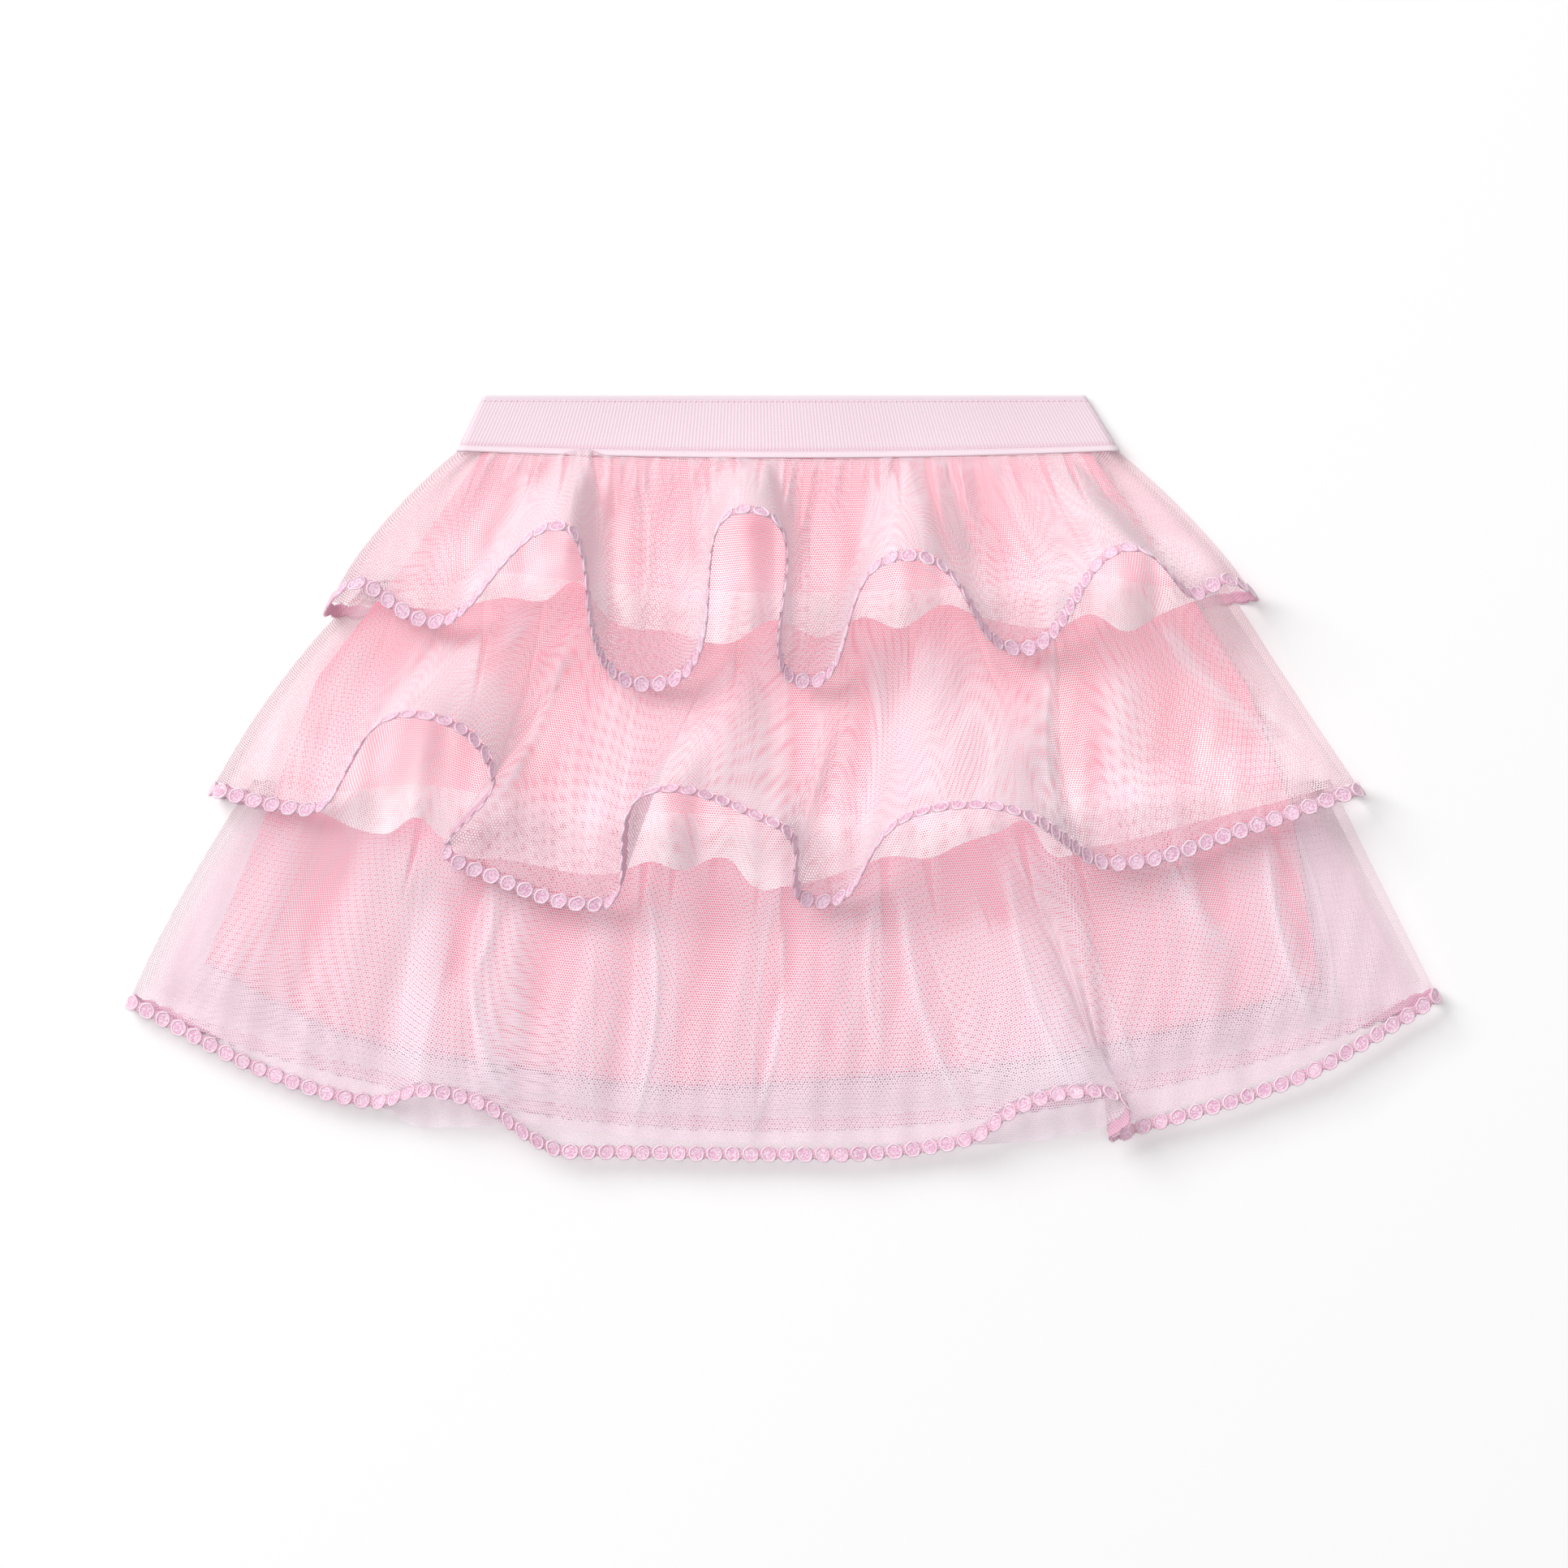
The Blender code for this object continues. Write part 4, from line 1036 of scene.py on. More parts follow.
        # Painted shade on the net just below its seam, where the tier above covers it; it also opens the
        # net there.
        closeness_and_shade = closeness_and_shade - self.SEAM_SHADE * (1.0 - ramp(0.06, 0.2, share)) * (self.level > 0)
        gathered = (self.fine_gathers(column) - 0.5) * (1.0 - ramp(0.0, 0.3, share))
        closeness_and_shade = closeness_and_shade + self.GATHER_TONE_AND_SHADE * gathered
        return Cloth(points, closeness_and_shade * calm - self.SIDE_TONE * (1.0 - calm))

    def fine_gathers(self, column: Array) -> Array:
        """Give the small uneven gathers that a seam pulls into the net.

        Args:
            column: Columns along the hem.

        Returns:
            Heights from 0 to 1.
        """
        slow = 0.9 * np.sin(0.83 * column + self.level)
        first = np.sin(3.1 * column + slow + 0.7)
        second = np.sin(5.3 * column + 1.7 * slow + 2.0)
        return np.clip(0.5 + 0.3 * first + 0.25 * second, 0.0, 1.0)

    def back(self, part: Array, share: Array) -> Cloth:
        """Shape the outer net's back, from the right side fold to the left one.

        Args:
            part: Shares of the way from the left side to the right.
            share: Shares of the tier's length.

        Returns:
            Across, drop and height of each point, and its closeness.
        """
        cut = self.cut
        ends = np.zeros_like(part)
        left = self.plan_front(ends, share)[0]
        right = self.plan_front(ends + self.hem.columns, share)[0]
        across = left + (right - left) * part
        top = cut.left + (cut.right - cut.left) * part
        hem_across = cut.hem[0].across + (cut.hem[-1].across - cut.hem[0].across) * part
        start = self.drape.seam_drop(self.level, top)
        drop = start + (self.drape.back_hem_drop(self.level, hem_across) - start) * share
        flat = self.drape.tulle_front(self.level, across, drop, share)
        low = self.drape.tier_back(self.level, across, drop, False)
        gathers = 0.5 - 0.5 * np.cos(2 * math.pi * part * self.hem.columns / COLUMNS_PER_GATHER)
        soft = ripple_height(FOLD_RIPPLE, part * self.hem.columns, self.level + 1)
        pinch = self.BACK_GATHER * gathers * (1.0 - ramp(0.05, 0.6, share))
        pinch = pinch + self.BACK_FOLD * soft * ramp(0.2, 0.7, share)
        side = (flat + low) / 2
        turn = side_round(np.minimum(across - left, right - across), SIDE_TURN)
        height = side + (low + pinch - self.BACK_PRESS - side) * turn
        return Cloth(np.stack([across, drop, height], axis=-1), 0.1 * pinch)

    def ring(self, place: Array, share: Array) -> Cloth:
        """Shape the outer net all round.

        Args:
            place: Columns of the front, then columns of the back from right to left.
            share: Shares of the tier's length.

        Returns:
            Across, drop and height of each point, and its closeness.
        """
        columns = self.hem.columns
        behind = place > columns
        points = np.zeros(place.shape + (3,))
        closeness_and_shade = np.zeros_like(place)
        if np.any(~behind):
            cloth = self.front(place[~behind], share[~behind])
            points[~behind] = cloth.points
            closeness_and_shade[~behind] = cloth.closeness_and_shade
        if np.any(behind):
            cloth = self.back(2.0 - place[behind] / columns, share[behind])
            points[behind] = cloth.points
            closeness_and_shade[behind] = cloth.closeness_and_shade
        return Cloth(points, closeness_and_shade)

    def unit(self, place: Array) -> Array:
        """Measure a millimetre at the hem.

        Args:
            place: Columns round the hem.

        Returns:
            The share of the tier's length that it takes.
        """
        step = 0.04
        there = self.ring(place, np.full_like(place, 1.0 + step / 2)).points
        here = self.ring(place, np.full_like(place, 1.0 - step / 2)).points
        return step / np.linalg.norm(there - here, axis=-1)

    def places(self, step: float) -> Array:
        """List columns all round, close together at the side folds.

        Args:
            step: How far apart the columns are on the front, in the hem's own columns.

        Returns:
            The columns, ending where they began.
        """
        columns = float(self.hem.columns)
        close = np.array([0.0, 0.03, 0.1, 0.22, 0.4, 0.65])
        count = int(round((columns - 2.0) / step))
        middle = np.linspace(1.0, columns - 1.0, count + 1)
        front = np.concatenate([close, middle, columns - close[::-1]])
        behind = np.linspace(columns + 1.0, 2 * columns - 1.0, count // 3)
        back = np.concatenate([columns + close[1:], behind, 2 * columns - close[::-1]])
        return np.concatenate([front, back])

    def side_line(self, drop: Array, column: int) -> Array:
        """Trace an outer net's side fold.

        Args:
            drop: Drops along the fold.
            column: The fold's column, the first or the last one.

        Returns:
            The fold's place across at each drop.
        """
        cut = self.cut
        corner = cut.hem[0] if column == 0 else cut.hem[-1]
        top = cut.left if column == 0 else cut.right
        start = self.drape.seam_drop(self.level, np.array(top))
        share = np.clip((drop - start) / (corner.drop - start), 0.0, 1.0)
        return self.plan_front(np.full_like(drop, column), share)[0]

    def arch_lift(self, across: Array, drop: Array) -> Array:
        """Lift the under net inside the arches of the outer hem.

        Args:
            across: Places across.
            drop: Their drops.

        Returns:
            The lift at each place.
        """
        cut = self.cut
        lift = np.zeros_like(across)
        if self.level:
            cover = self.drape.covered_drop(self.level, across)
        else:
            cover = self.drape.seam_drop(0, across)
        for index in range(1, len(cut.hem) - 1):
            before, crest, after = cut.hem[index - 1:index + 2]
            if crest.rise < ARCH_RISE or crest.rise < max(before.rise, after.rise):
                continue
            top = self.seam_across(np.array(float(self.hem.first_columns[index])))
            start = self.drape.seam_drop(self.level, top)
            reach = np.clip((drop - start) / (crest.drop - start), 0.0, 1.0)
            middle = top + (crest.across - top) * reach
            nearest = min(crest.across - before.across, abs(after.across - crest.across) + ARCH_WIDER)
            half = ARCH_SHARE * nearest * (ARCH_TOP_WIDTH + (1.0 - ARCH_TOP_WIDTH) * reach)
            inside = np.clip(1.0 - ((across - middle) / half) ** 2, 0.0, 1.0)
            run = np.maximum(crest.drop + ARCH_MARGIN - cover, SHORTEST_FREE_RUN)
            free = np.clip((drop - cover) / run, 0.0, 1.0)
            lift = lift + ARCH_LIFT * crest.rise * inside ** 2 * free ** ARCH_LIFT_POWER
        return lift

    def under_ring(self, part: Array, share: Array) -> Cloth:
        """Shape the under net all round.

        Args:
            part: From 0 to 1 along the front, then to 2 along the back to the left side.
            share: Shares of the net's length.

        Returns:
            Across, drop and height of each point, and its closeness.
        """
        cut = self.cut
        drape = self.drape
        behind, along = folded(part)
        top = cut.left + (cut.right - cut.left) * along
        start = drape.seam_drop(self.level, top) - np.where(behind, 0.0, self.hidden_top(top))
        hem_left = cut.under_hem[0].across
        hem_across = hem_left + (cut.under_hem[-1].across - hem_left) * along
        end = edge_drop(cut.under_hem, hem_across)
        back_end = drape.back_hem_drop(self.level, hem_across) - EDGING_WIDTH
        end = np.where(behind, np.minimum(end, back_end), end)
        drop = start + (end - start) * share
        sides = drape.seam_drop(self.level, np.array(cut.left))
        sides = sides + (cut.under_hem[0].drop - cut.seam_drop) * share
        left = self.side_line(sides, 0) + UNDER_INSET
        sides = drape.seam_drop(self.level, np.array(cut.right))
        sides = sides + (cut.under_hem[-1].drop - cut.seam_drop) * share
        right = self.side_line(sides, self.hem.columns) - UNDER_INSET
        across = left + (right - left) * along
        flat = drape.net_front(self.level, across, drop, share)
        low = drape.tier_back(self.level, across, drop, True)
        turns = self.hem.columns * along
        folds = ripple_height(FOLD_RIPPLE, 1.3 * turns + 2.0 * share, self.level + 2)
        folds = self.UNDER_FOLD * folds * ramp(0.1, 0.5, share)
        crumple = np.sin(0.42 * across + 1.6 * np.sin(0.05 * drop + self.level))
        crumple = crumple * np.sin(0.17 * across + 0.06 * drop)
        folds = folds + self.UNDER_CRUMPLE * (1.0 + crumple) * ramp(0.3, 0.75, share)
        front = flat + self.arch_lift(across, drop) + folds
        height = np.where(behind, low, front)
        side = (flat + low) / 2
        turn = side_round(np.minimum(across - left, right - across), UNDER_TURN)
        points = np.stack([across, drop, side + (height - side) * turn], axis=-1)
        calm = ramp(0.0, 3.0 * UNDER_TURN, np.minimum(across - left, right - across))
        return Cloth(points, np.where(behind, 0.0, 0.1 * folds) * calm - 0.2 * (1.0 - calm))


class Origin:
    """Where the drawing's zero lies in the frame."""

    BAND_MIDDLE = 1.75

    def __init__(self) -> None:
        """Find the top edge and the middle of the waistband in the frame."""
        low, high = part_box("waistband")
        self.shift = np.array([(low.x + high.x) / 2 - self.BAND_MIDDLE * MM, high.y, 0.0])

    def world(self, points: Array) -> Array:
        """Turn across, drop and height in millimetres into places in the frame, in metres."""
        turned = points * np.array([1.0, -1.0, 1.0])
        return turned * MM + self.shift


class Graph:
    """A short way to write the nodes of a material."""

    def __init__(self, name: str) -> None:
        """Start a material with one Principled shader.

        Args:
            name: The material's name.
        """
        self.material = bpy.data.materials.new(name)
        self.material.use_nodes = True
        self.tree = self.material.node_tree
        self.shader = self.tree.nodes["Principled BSDF"]

    def node(self, kind: str, **settings: object) -> bpy.types.Node:
        """Add a node.

        Args:
            kind: The node's type.
            **settings: Properties of the node.

        Returns:
            The node.
        """
        node = self.tree.nodes.new(kind)
        for key, value in settings.items():
            setattr(node, key, value)
        return node

    def feed(self, value: Input, socket: bpy.types.NodeSocket) -> None:
        """Link a socket, or set it to a number.

        Args:
            value: An output socket or a plain value.
            socket: The input.
        """
        if isinstance(value, bpy.types.NodeSocket):
            self.tree.links.new(value, socket)
        else:
            socket.default_value = value

    def math(self, operation: str, first: Input, second: Input = 0.0) -> bpy.types.NodeSocket:
        """Add a Math node.

        Args:
            operation: Its operation.
            first: Its first value or link.
            second: Its second value or link.

        Returns:
            The result.
        """
        node = self.node("ShaderNodeMath", operation=operation)
        self.feed(first, node.inputs[0])
        self.feed(second, node.inputs[1])
        return node.outputs[0]

    def add(self, first: Input, second: Input, share: float) -> bpy.types.NodeSocket:
        """Add a share of a second value to a first one."""
        return self.math("ADD", first, self.math("MULTIPLY", second, share))

    def rows(
        self,
        place: tuple[bpy.types.NodeSocket, bpy.types.NodeSocket],
        run: float,
        fall: float,
        pitch: float,
    ) -> bpy.types.NodeSocket:
        """Draw even rows on a cloth.

        Args:
            place: The places along and down the cloth.
            run: How fast the rows follow each other along it.
            fall: How fast they follow each other down it.
            pitch: Their distance, in metres, where run or fall is 1.

        Returns:
            A wave from -1 to 1.
        """
        turn = 2 * math.pi / pitch
        first = self.math("MULTIPLY", place[0], turn * run)
        second = self.math("MULTIPLY", place[1], turn * fall)
        return self.math("COSINE", self.math("ADD", first, second))

    def remap(
        self, value: Input, low: Input, high: Input, start: float, end: float,
    ) -> bpy.types.NodeSocket:
        """Add a smooth Map Range node.

        Args:
            value: What is mapped.
            low: The value that gives start.
            high: The value that gives end.
            start: The first result.
            end: The last result.

        Returns:
            The result.
        """
        node = self.node("ShaderNodeMapRange", interpolation_type="SMOOTHSTEP")
        for index, item in enumerate((value, low, high, start, end)):
            self.feed(item, node.inputs[index])
        return node.outputs[0]

    def mix(self, share: Input, first: Input, second: Input) -> bpy.types.NodeSocket:
        """Mix two colours.

        Args:
            share: How much of the second.
            first: A colour or link.
            second: A colour or link.

        Returns:
            The mixed colour.
        """
        node = self.node("ShaderNodeMix", data_type="RGBA")
        self.feed(share, node.inputs[0])
        self.feed(first, node.inputs[6])
        self.feed(second, node.inputs[7])
        return node.outputs[2]

    def uv(self) -> tuple[bpy.types.NodeSocket, bpy.types.NodeSocket]:
        """Read the piece's own UV map.

        Returns:
            The places along and down the cloth, in metres.
        """
        source = self.node("ShaderNodeUVMap", uv_map="UVMap")
        split = self.node("ShaderNodeSeparateXYZ")
        self.tree.links.new(source.outputs[0], split.inputs[0])
        return split.outputs[0], split.outputs[1]

    def attribute(self, name: str) -> bpy.types.NodeSocket:
        """Give a number that is stored on the piece's points."""
        return self.node("ShaderNodeAttribute", attribute_name=name).outputs["Fac"]

    def noise(self, scale: float, detail: float = 2.0) -> bpy.types.NodeSocket:
        """Add noise in the object's own space.

        Args:
            scale: How fine it is, in waves a metre.
            detail: How many finer waves it has.

        Returns:
            The noise.
        """
        place = self.node("ShaderNodeTexCoord")
        node = self.node("ShaderNodeTexNoise")
        self.tree.links.new(place.outputs["Object"], node.inputs["Vector"])
        node.inputs["Scale"].default_value = scale
        node.inputs["Detail"].default_value = detail
        return node.outputs[0]

    def bump(self, height: bpy.types.NodeSocket, distance: float, strength: float = 1.0) -> None:
        """Raise the surface by a pattern.

        Args:
            height: The pattern.
            distance: How far its highest places stand out, in metres.
            strength: How strongly it shows.
        """
        node = self.node("ShaderNodeBump")
        node.inputs["Distance"].default_value = distance
        node.inputs["Strength"].default_value = strength
        self.tree.links.new(height, node.inputs["Height"])
        self.tree.links.new(node.outputs[0], self.shader.inputs["Normal"])

    def finish(self, colour: Input, roughness: float, sheen: float, specular: float) -> bpy.types.Material:
        """Set the shader's main values.

        Args:
            colour: The base colour or its link.
            roughness: The roughness.
            sheen: The weight of the cloth's sheen.
            specular: The level of its reflections.

        Returns:
            The finished material.
        """
        self.feed(colour, self.shader.inputs["Base Color"])
        self.shader.inputs["Roughness"].default_value = roughness
        self.shader.inputs["Sheen Weight"].default_value = sheen
        self.shader.inputs["Sheen Roughness"].default_value = SHEEN_ROUGHNESS
        self.shader.inputs["Specular IOR Level"].default_value = specular
        return self.material


@dataclass(frozen=True)
class NetFinish:
    """Tulle: a honeycomb of fine threads with open holes."""

    name: str
    deep: Colour
    pale: Colour
    turn: float
    mesh: float = 0.00085
    soft: float = 0.34
    light_through: float = 0.8
    thread_height: float = 0.00006
    cloud_scale: float = 24.0
    cloud_tone: float = 0.25
    roughness: float = 0.62
    sheen: float = 0.12
    specular: float = 0.2

    def material(self) -> bpy.types.Material:
        """Build the material: threads from the UV map, open where the mesh is.

        Returns:
            The material.
        """
        graph = Graph(self.name)
        place = graph.uv()
        closeness_and_shade = graph.attribute("closeness_and_shade")
        turns = [math.radians(self.turn + step) for step in (0.0, 120.0, 240.0)]
        waves = [graph.rows(place, math.cos(turn), math.sin(turn), self.mesh) for turn in turns]
        mesh = graph.math("ADD", graph.math("ADD", waves[0], waves[1]), waves[2])
        low = graph.math("SUBTRACT", closeness_and_shade, self.soft)
        high = graph.math("ADD", closeness_and_shade, self.soft)
        thread = graph.remap(mesh, low, high, 1.0, 0.0)
        through = graph.node("ShaderNodeLightPath").outputs["Is Shadow Ray"]
        kept = graph.math("SUBTRACT", 1.0, graph.math("MULTIPLY", through, self.light_through))
        graph.feed(graph.math("MULTIPLY", thread, kept), graph.shader.inputs["Alpha"])
        # The colour runs from deep to pale with this value. Besides how close the net lies, it holds
        # painted shade in troughs, tucks, deep bands and below the tier above, and painted light on raised
        # waves.
        pale = graph.remap(closeness_and_shade, -1.3, 0.5, 0.0, 1.0)
        tone = graph.add(pale, graph.noise(self.cloud_scale), self.cloud_tone)
        graph.bump(graph.remap(mesh, -1.5, 3.0, 1.0, 0.0), self.thread_height, 1.0)
        colour = graph.mix(tone, self.deep, self.pale)
        return graph.finish(colour, self.roughness, self.sheen, self.specular)


@dataclass(frozen=True)
class KnitFinish:
    """A fine opaque knit with small rows of stitches."""

    name: str
    colour: Colour
    shade: Colour
    wale: float = 0.0008
    course_share: float = 0.8
    stitch_height: float = 0.0001
    cloud_scale: float = 18.0

    def material(self) -> bpy.types.Material:
        """Build the material: rows of stitches in both directions.

        Returns:
            The material.
        """
        graph = Graph(self.name)
        place = graph.uv()
        wale = graph.rows(place, 1.0, 0.0, self.wale)
        course = graph.rows(place, 0.0, self.course_share, self.wale)
        stitch = graph.math("MULTIPLY", wale, course)
        graph.bump(stitch, self.stitch_height, 0.6)
        tone = graph.add(graph.noise(self.cloud_scale), stitch, 0.08)
        colour = graph.mix(graph.remap(tone, 0.3, 0.75, 0.0, 1.0), self.shade, self.colour)
        return graph.finish(colour, 0.75, 0.3, 0.2)


@dataclass(frozen=True)
class ElasticFinish:
    """Ribbed elastic, whose ribs are in the mesh and whose fine cross threads are here."""

    name: str
    colour: Colour
    shaded_groove: Colour
    weft: float = 0.0006
    thread_height: float = 0.00006
    cloud_scale: float = 30.0

    def material(self) -> bpy.types.Material:
        """Build the material: cross threads, with painted light on the rib tops and painted shade between
        the ribs and in the stitched grooves.

        Returns:
            The material.
        """
        graph = Graph(self.name)
        place = graph.uv()
        weft = graph.rows(place, 0.0, 1.0, self.weft)
        graph.bump(graph.add(weft, graph.rows(place, 2.0, 0.0, self.weft), 0.3), self.thread_height, 0.5)
        # The stored tone gives painted light on the rib tops and painted shade between the ribs and in the
        # stitched grooves.
        tone = graph.add(graph.math("MULTIPLY", graph.attribute("rib"), 0.8), weft, 0.06)
        tone = graph.add(tone, graph.noise(self.cloud_scale), 0.3)
        colour = graph.mix(graph.remap(tone, 0.05, 1.0, 0.0, 1.0), self.shaded_groove, self.colour)
        return graph.finish(colour, 0.65, 0.3, 0.25)


@dataclass(frozen=True)
class ThreadFinish:
    """Glossy embroidery thread that turns slightly lilac in places."""

    name: str
    colour: Colour
    pearl: Colour
    roughness: float
    fine: float = 2600.0
    fleck: float = 0.35
    fibre_height: float = 0.00018
    cloud_scale: float = 55.0

    def material(self) -> bpy.types.Material:
        """Build the material: fine threads, and slow changes of tone.

        Returns:
            The material.
        """
        graph = Graph(self.name)
        fibre = graph.noise(self.fine, 1.0)
        graph.bump(fibre, self.fibre_height, 0.8)
        slow = graph.remap(graph.noise(self.cloud_scale), 0.42, 0.66, 0.0, 1.0 - 0.7 * self.fleck)
        fleck = graph.remap(fibre, 0.4, 0.66, 0.0, self.fleck)
        colour = graph.mix(graph.math("ADD", slow, fleck), self.colour, self.pearl)
        return graph.finish(colour, self.roughness, 0.2, 0.5)


@dataclass(frozen=True)
class HatchFinish:
    """The ground of the edging: thread laid in close slanting rows over the net."""

    name: str
    thread: Colour
    gap: Colour
    pitch: float = 0.0011
    thread_height: float = 0.0002
    fray_scale: float = 1500.0

    def material(self) -> bpy.types.Material:
        """Build the material: two slanting sets of rows from the UV map.

        Returns:
            The material.
        """
        graph = Graph(self.name)
        place = graph.uv()
        falling = graph.rows(place, 1.0, 0.6, self.pitch)
        rows = graph.math("ADD", falling, graph.rows(place, 0.55, -1.0, self.pitch))
        rows = graph.add(rows, graph.noise(self.fray_scale), 1.2)
        height = graph.remap(rows, -0.6, 1.6, 0.0, 1.0)
        graph.bump(height, self.thread_height, 0.7)
        return graph.finish(graph.mix(height, self.gap, self.thread), 0.5, 0.25, 0.35)


@dataclass(frozen=True)
class PlainFinish:
    """A plain matt surface with a faint unevenness."""

    name: str
    colour: Colour
    shade: Colour
    cloud_scale: float = 3.0

    def material(self) -> bpy.types.Material:
        """Build the material.

        Returns:
            The material.
        """
        graph = Graph(self.name)
        colour = graph.mix(graph.noise(self.cloud_scale), self.colour, self.shade)
        return graph.finish(colour, 0.9, 0.0, 0.1)


class Finish(Protocol):
    """What the surface of a piece looks like."""

    def material(self) -> bpy.types.Material:
        """Build the material."""


class Slot(Enum):
    """The record's material slots."""

    WAISTBAND = "waistband_elastic"
    LINING = "lining_knit"
    TULLE = "tulle_net"
    UNDER = "under_net"
    EDGING = "edging_embroidery"


OUTER_NET = NetFinish("outer net", (0.83, 0.44, 0.52, 1.0), (0.83, 0.68, 0.74, 1.0), 8.0)
UNDER_NET = NetFinish("under net", (0.98, 0.82, 0.87, 1.0), (0.98, 0.90, 0.93, 1.0), 31.0)
LOW_OUTER_NET = NetFinish(
    "low outer net", (0.89, 0.64, 0.72, 1.0), (0.89, 0.76, 0.83, 1.0), 8.0, light_through=0.6,
)
LOW_UNDER_NET = NetFinish(
    "low under net", (0.92, 0.73, 0.80, 1.0), (0.92, 0.80, 0.87, 1.0), 31.0, light_through=0.5,
)
LINING_KNIT = KnitFinish("lining knit", (0.92, 0.34, 0.45, 1.0), (0.90, 0.30, 0.41, 1.0))
# The elastic's own colour, and the deeper colour used as painted shade in its grooves
ELASTIC = ElasticFinish("ribbed elastic", (0.865, 0.75, 0.81, 1.0), (0.81, 0.58, 0.66, 1.0))
CIRCLE_THREAD = ThreadFinish("circle thread", (0.96, 0.77, 0.85, 1.0), (0.93, 0.61, 0.74, 1.0), 0.34)
HATCH_DISC = ThreadFinish(
    "circle ground", (0.74, 0.36, 0.54, 1.0), (0.93, 0.72, 0.83, 1.0), 0.42, fine=1700.0, fleck=1.0,
)
SEWING_THREAD = ThreadFinish("sewing thread", (0.90, 0.82, 0.86, 1.0), (0.88, 0.74, 0.80, 1.0), 0.5)
HATCH = HatchFinish("hatched ground", (0.85, 0.55, 0.68, 1.0), (0.76, 0.38, 0.52, 1.0))
FLOOR = PlainFinish("white surface", (0.965, 0.965, 0.965, 1.0), (0.955, 0.955, 0.955, 1.0))

# The outer net and the under net of each tier
NETS = {
    "upper": (OUTER_NET, UNDER_NET),
    "middle": (OUTER_NET, UNDER_NET),
    "lower": (LOW_OUTER_NET, LOW_UNDER_NET),
}


def finish_mesh(bm: bmesh.types.BMesh, name: str, finish: Finish) -> bpy.types.Object:
    """Turn a bmesh into a smooth object with a material.

    Args:
        bm: The bmesh, in metres and in place. It is freed.
        name: The piece's name.
        finish: What its surface looks like.

    Returns:
        The object.
    """
    for face in bm.faces:
        face.smooth = True
    mesh = bpy.data.meshes.new(name)
    bm.to_mesh(mesh)
    bm.free()
    piece = bpy.data.objects.new(name, mesh)
    bpy.context.scene.collection.objects.link(piece)
    piece.data.materials.append(finish.material())
    return piece


def closed_sheet(points: Array, uv: Array, values: dict[str, Array]) -> bmesh.types.BMesh:
    """Make a ring of cloth from a grid.

    Args:
        points: Places in metres, by row and column. The last column lies on the first one.
        uv: Lengths along and down the cloth in metres, by row and column.
        values: Numbers to store on the points, by name.

    Returns:
        The ring, facing outwards.
    """
    rows, columns = points.shape[:2]
    bm = bmesh.new()
    bmesh.ops.create_grid(bm, x_segments=columns - 1, y_segments=rows - 1, size=1.0)
    layers = {name: bm.verts.layers.float.new(name) for name in values}
    uv_layer = bm.loops.layers.uv.new("UVMap")
    places = {}
    for vertex in bm.verts:
        column = round((vertex.co.x + 1.0) / 2.0 * (columns - 1))
        row = round((vertex.co.y + 1.0) / 2.0 * (rows - 1))
        places[vertex.index] = (row, column)
    for vertex in bm.verts:
        row, column = places[vertex.index]
        vertex.co = points[row, column]
        for name, layer in layers.items():
            vertex[layer] = values[name][row, column]
    for face in bm.faces:
        for loop in face.loops:
            loop[uv_layer].uv = uv[places[loop.vert.index]]
    ends = [v for v in bm.verts if places[v.index][1] in (0, columns - 1)]
    bmesh.ops.remove_doubles(bm, verts=ends, dist=1e-7)
    bm.normal_update()
    if signed_volume(bm) < 0.0:
        bmesh.ops.reverse_faces(bm, faces=bm.faces[:])
    return bm


def thicken(piece: bpy.types.Object, thickness: float, offset: float) -> None:
    """Give a piece a wall.

    Args:
        piece: The piece.
        thickness: The wall, in millimetres.
        offset: On which side of the mesh it lies: 0 for both, -1 for the inside.
    """
    solid = piece.modifiers.new("thickness", "SOLIDIFY")
    solid.thickness = thickness * MM
    solid.offset = offset


def signed_volume(bm: bmesh.types.BMesh) -> float:
    """Give the volume inside a ring, which is negative where its faces point inwards."""
    middle = sum((v.co for v in bm.verts), Vector()) / len(bm.verts)
    return sum((f.calc_center_median() - middle).dot(f.normal) * f.calc_area() for f in bm.faces)


def row_lengths(points: Array) -> Array:
    """Give the running length along each row of points, in the points' own unit."""
    steps = np.linalg.norm(np.diff(points, axis=1), axis=2)
    return np.concatenate([np.zeros((len(points), 1)), np.cumsum(steps, axis=1)], axis=1)


def slope_share(points: Array) -> Array:
    """Tell how steep a cloth is.

    Args:
        points: Places by row and column.

    Returns:
        1 where the cloth is upright and 0 where it is level.
    """
    along = np.gradient(points, axis=1)
    down = np.gradient(points, axis=0)
    normal = np.cross(along, down)
    size = np.maximum(np.linalg.norm(normal, axis=2), 1e-12)
    return 1.0 - np.abs(normal[..., 2]) / size


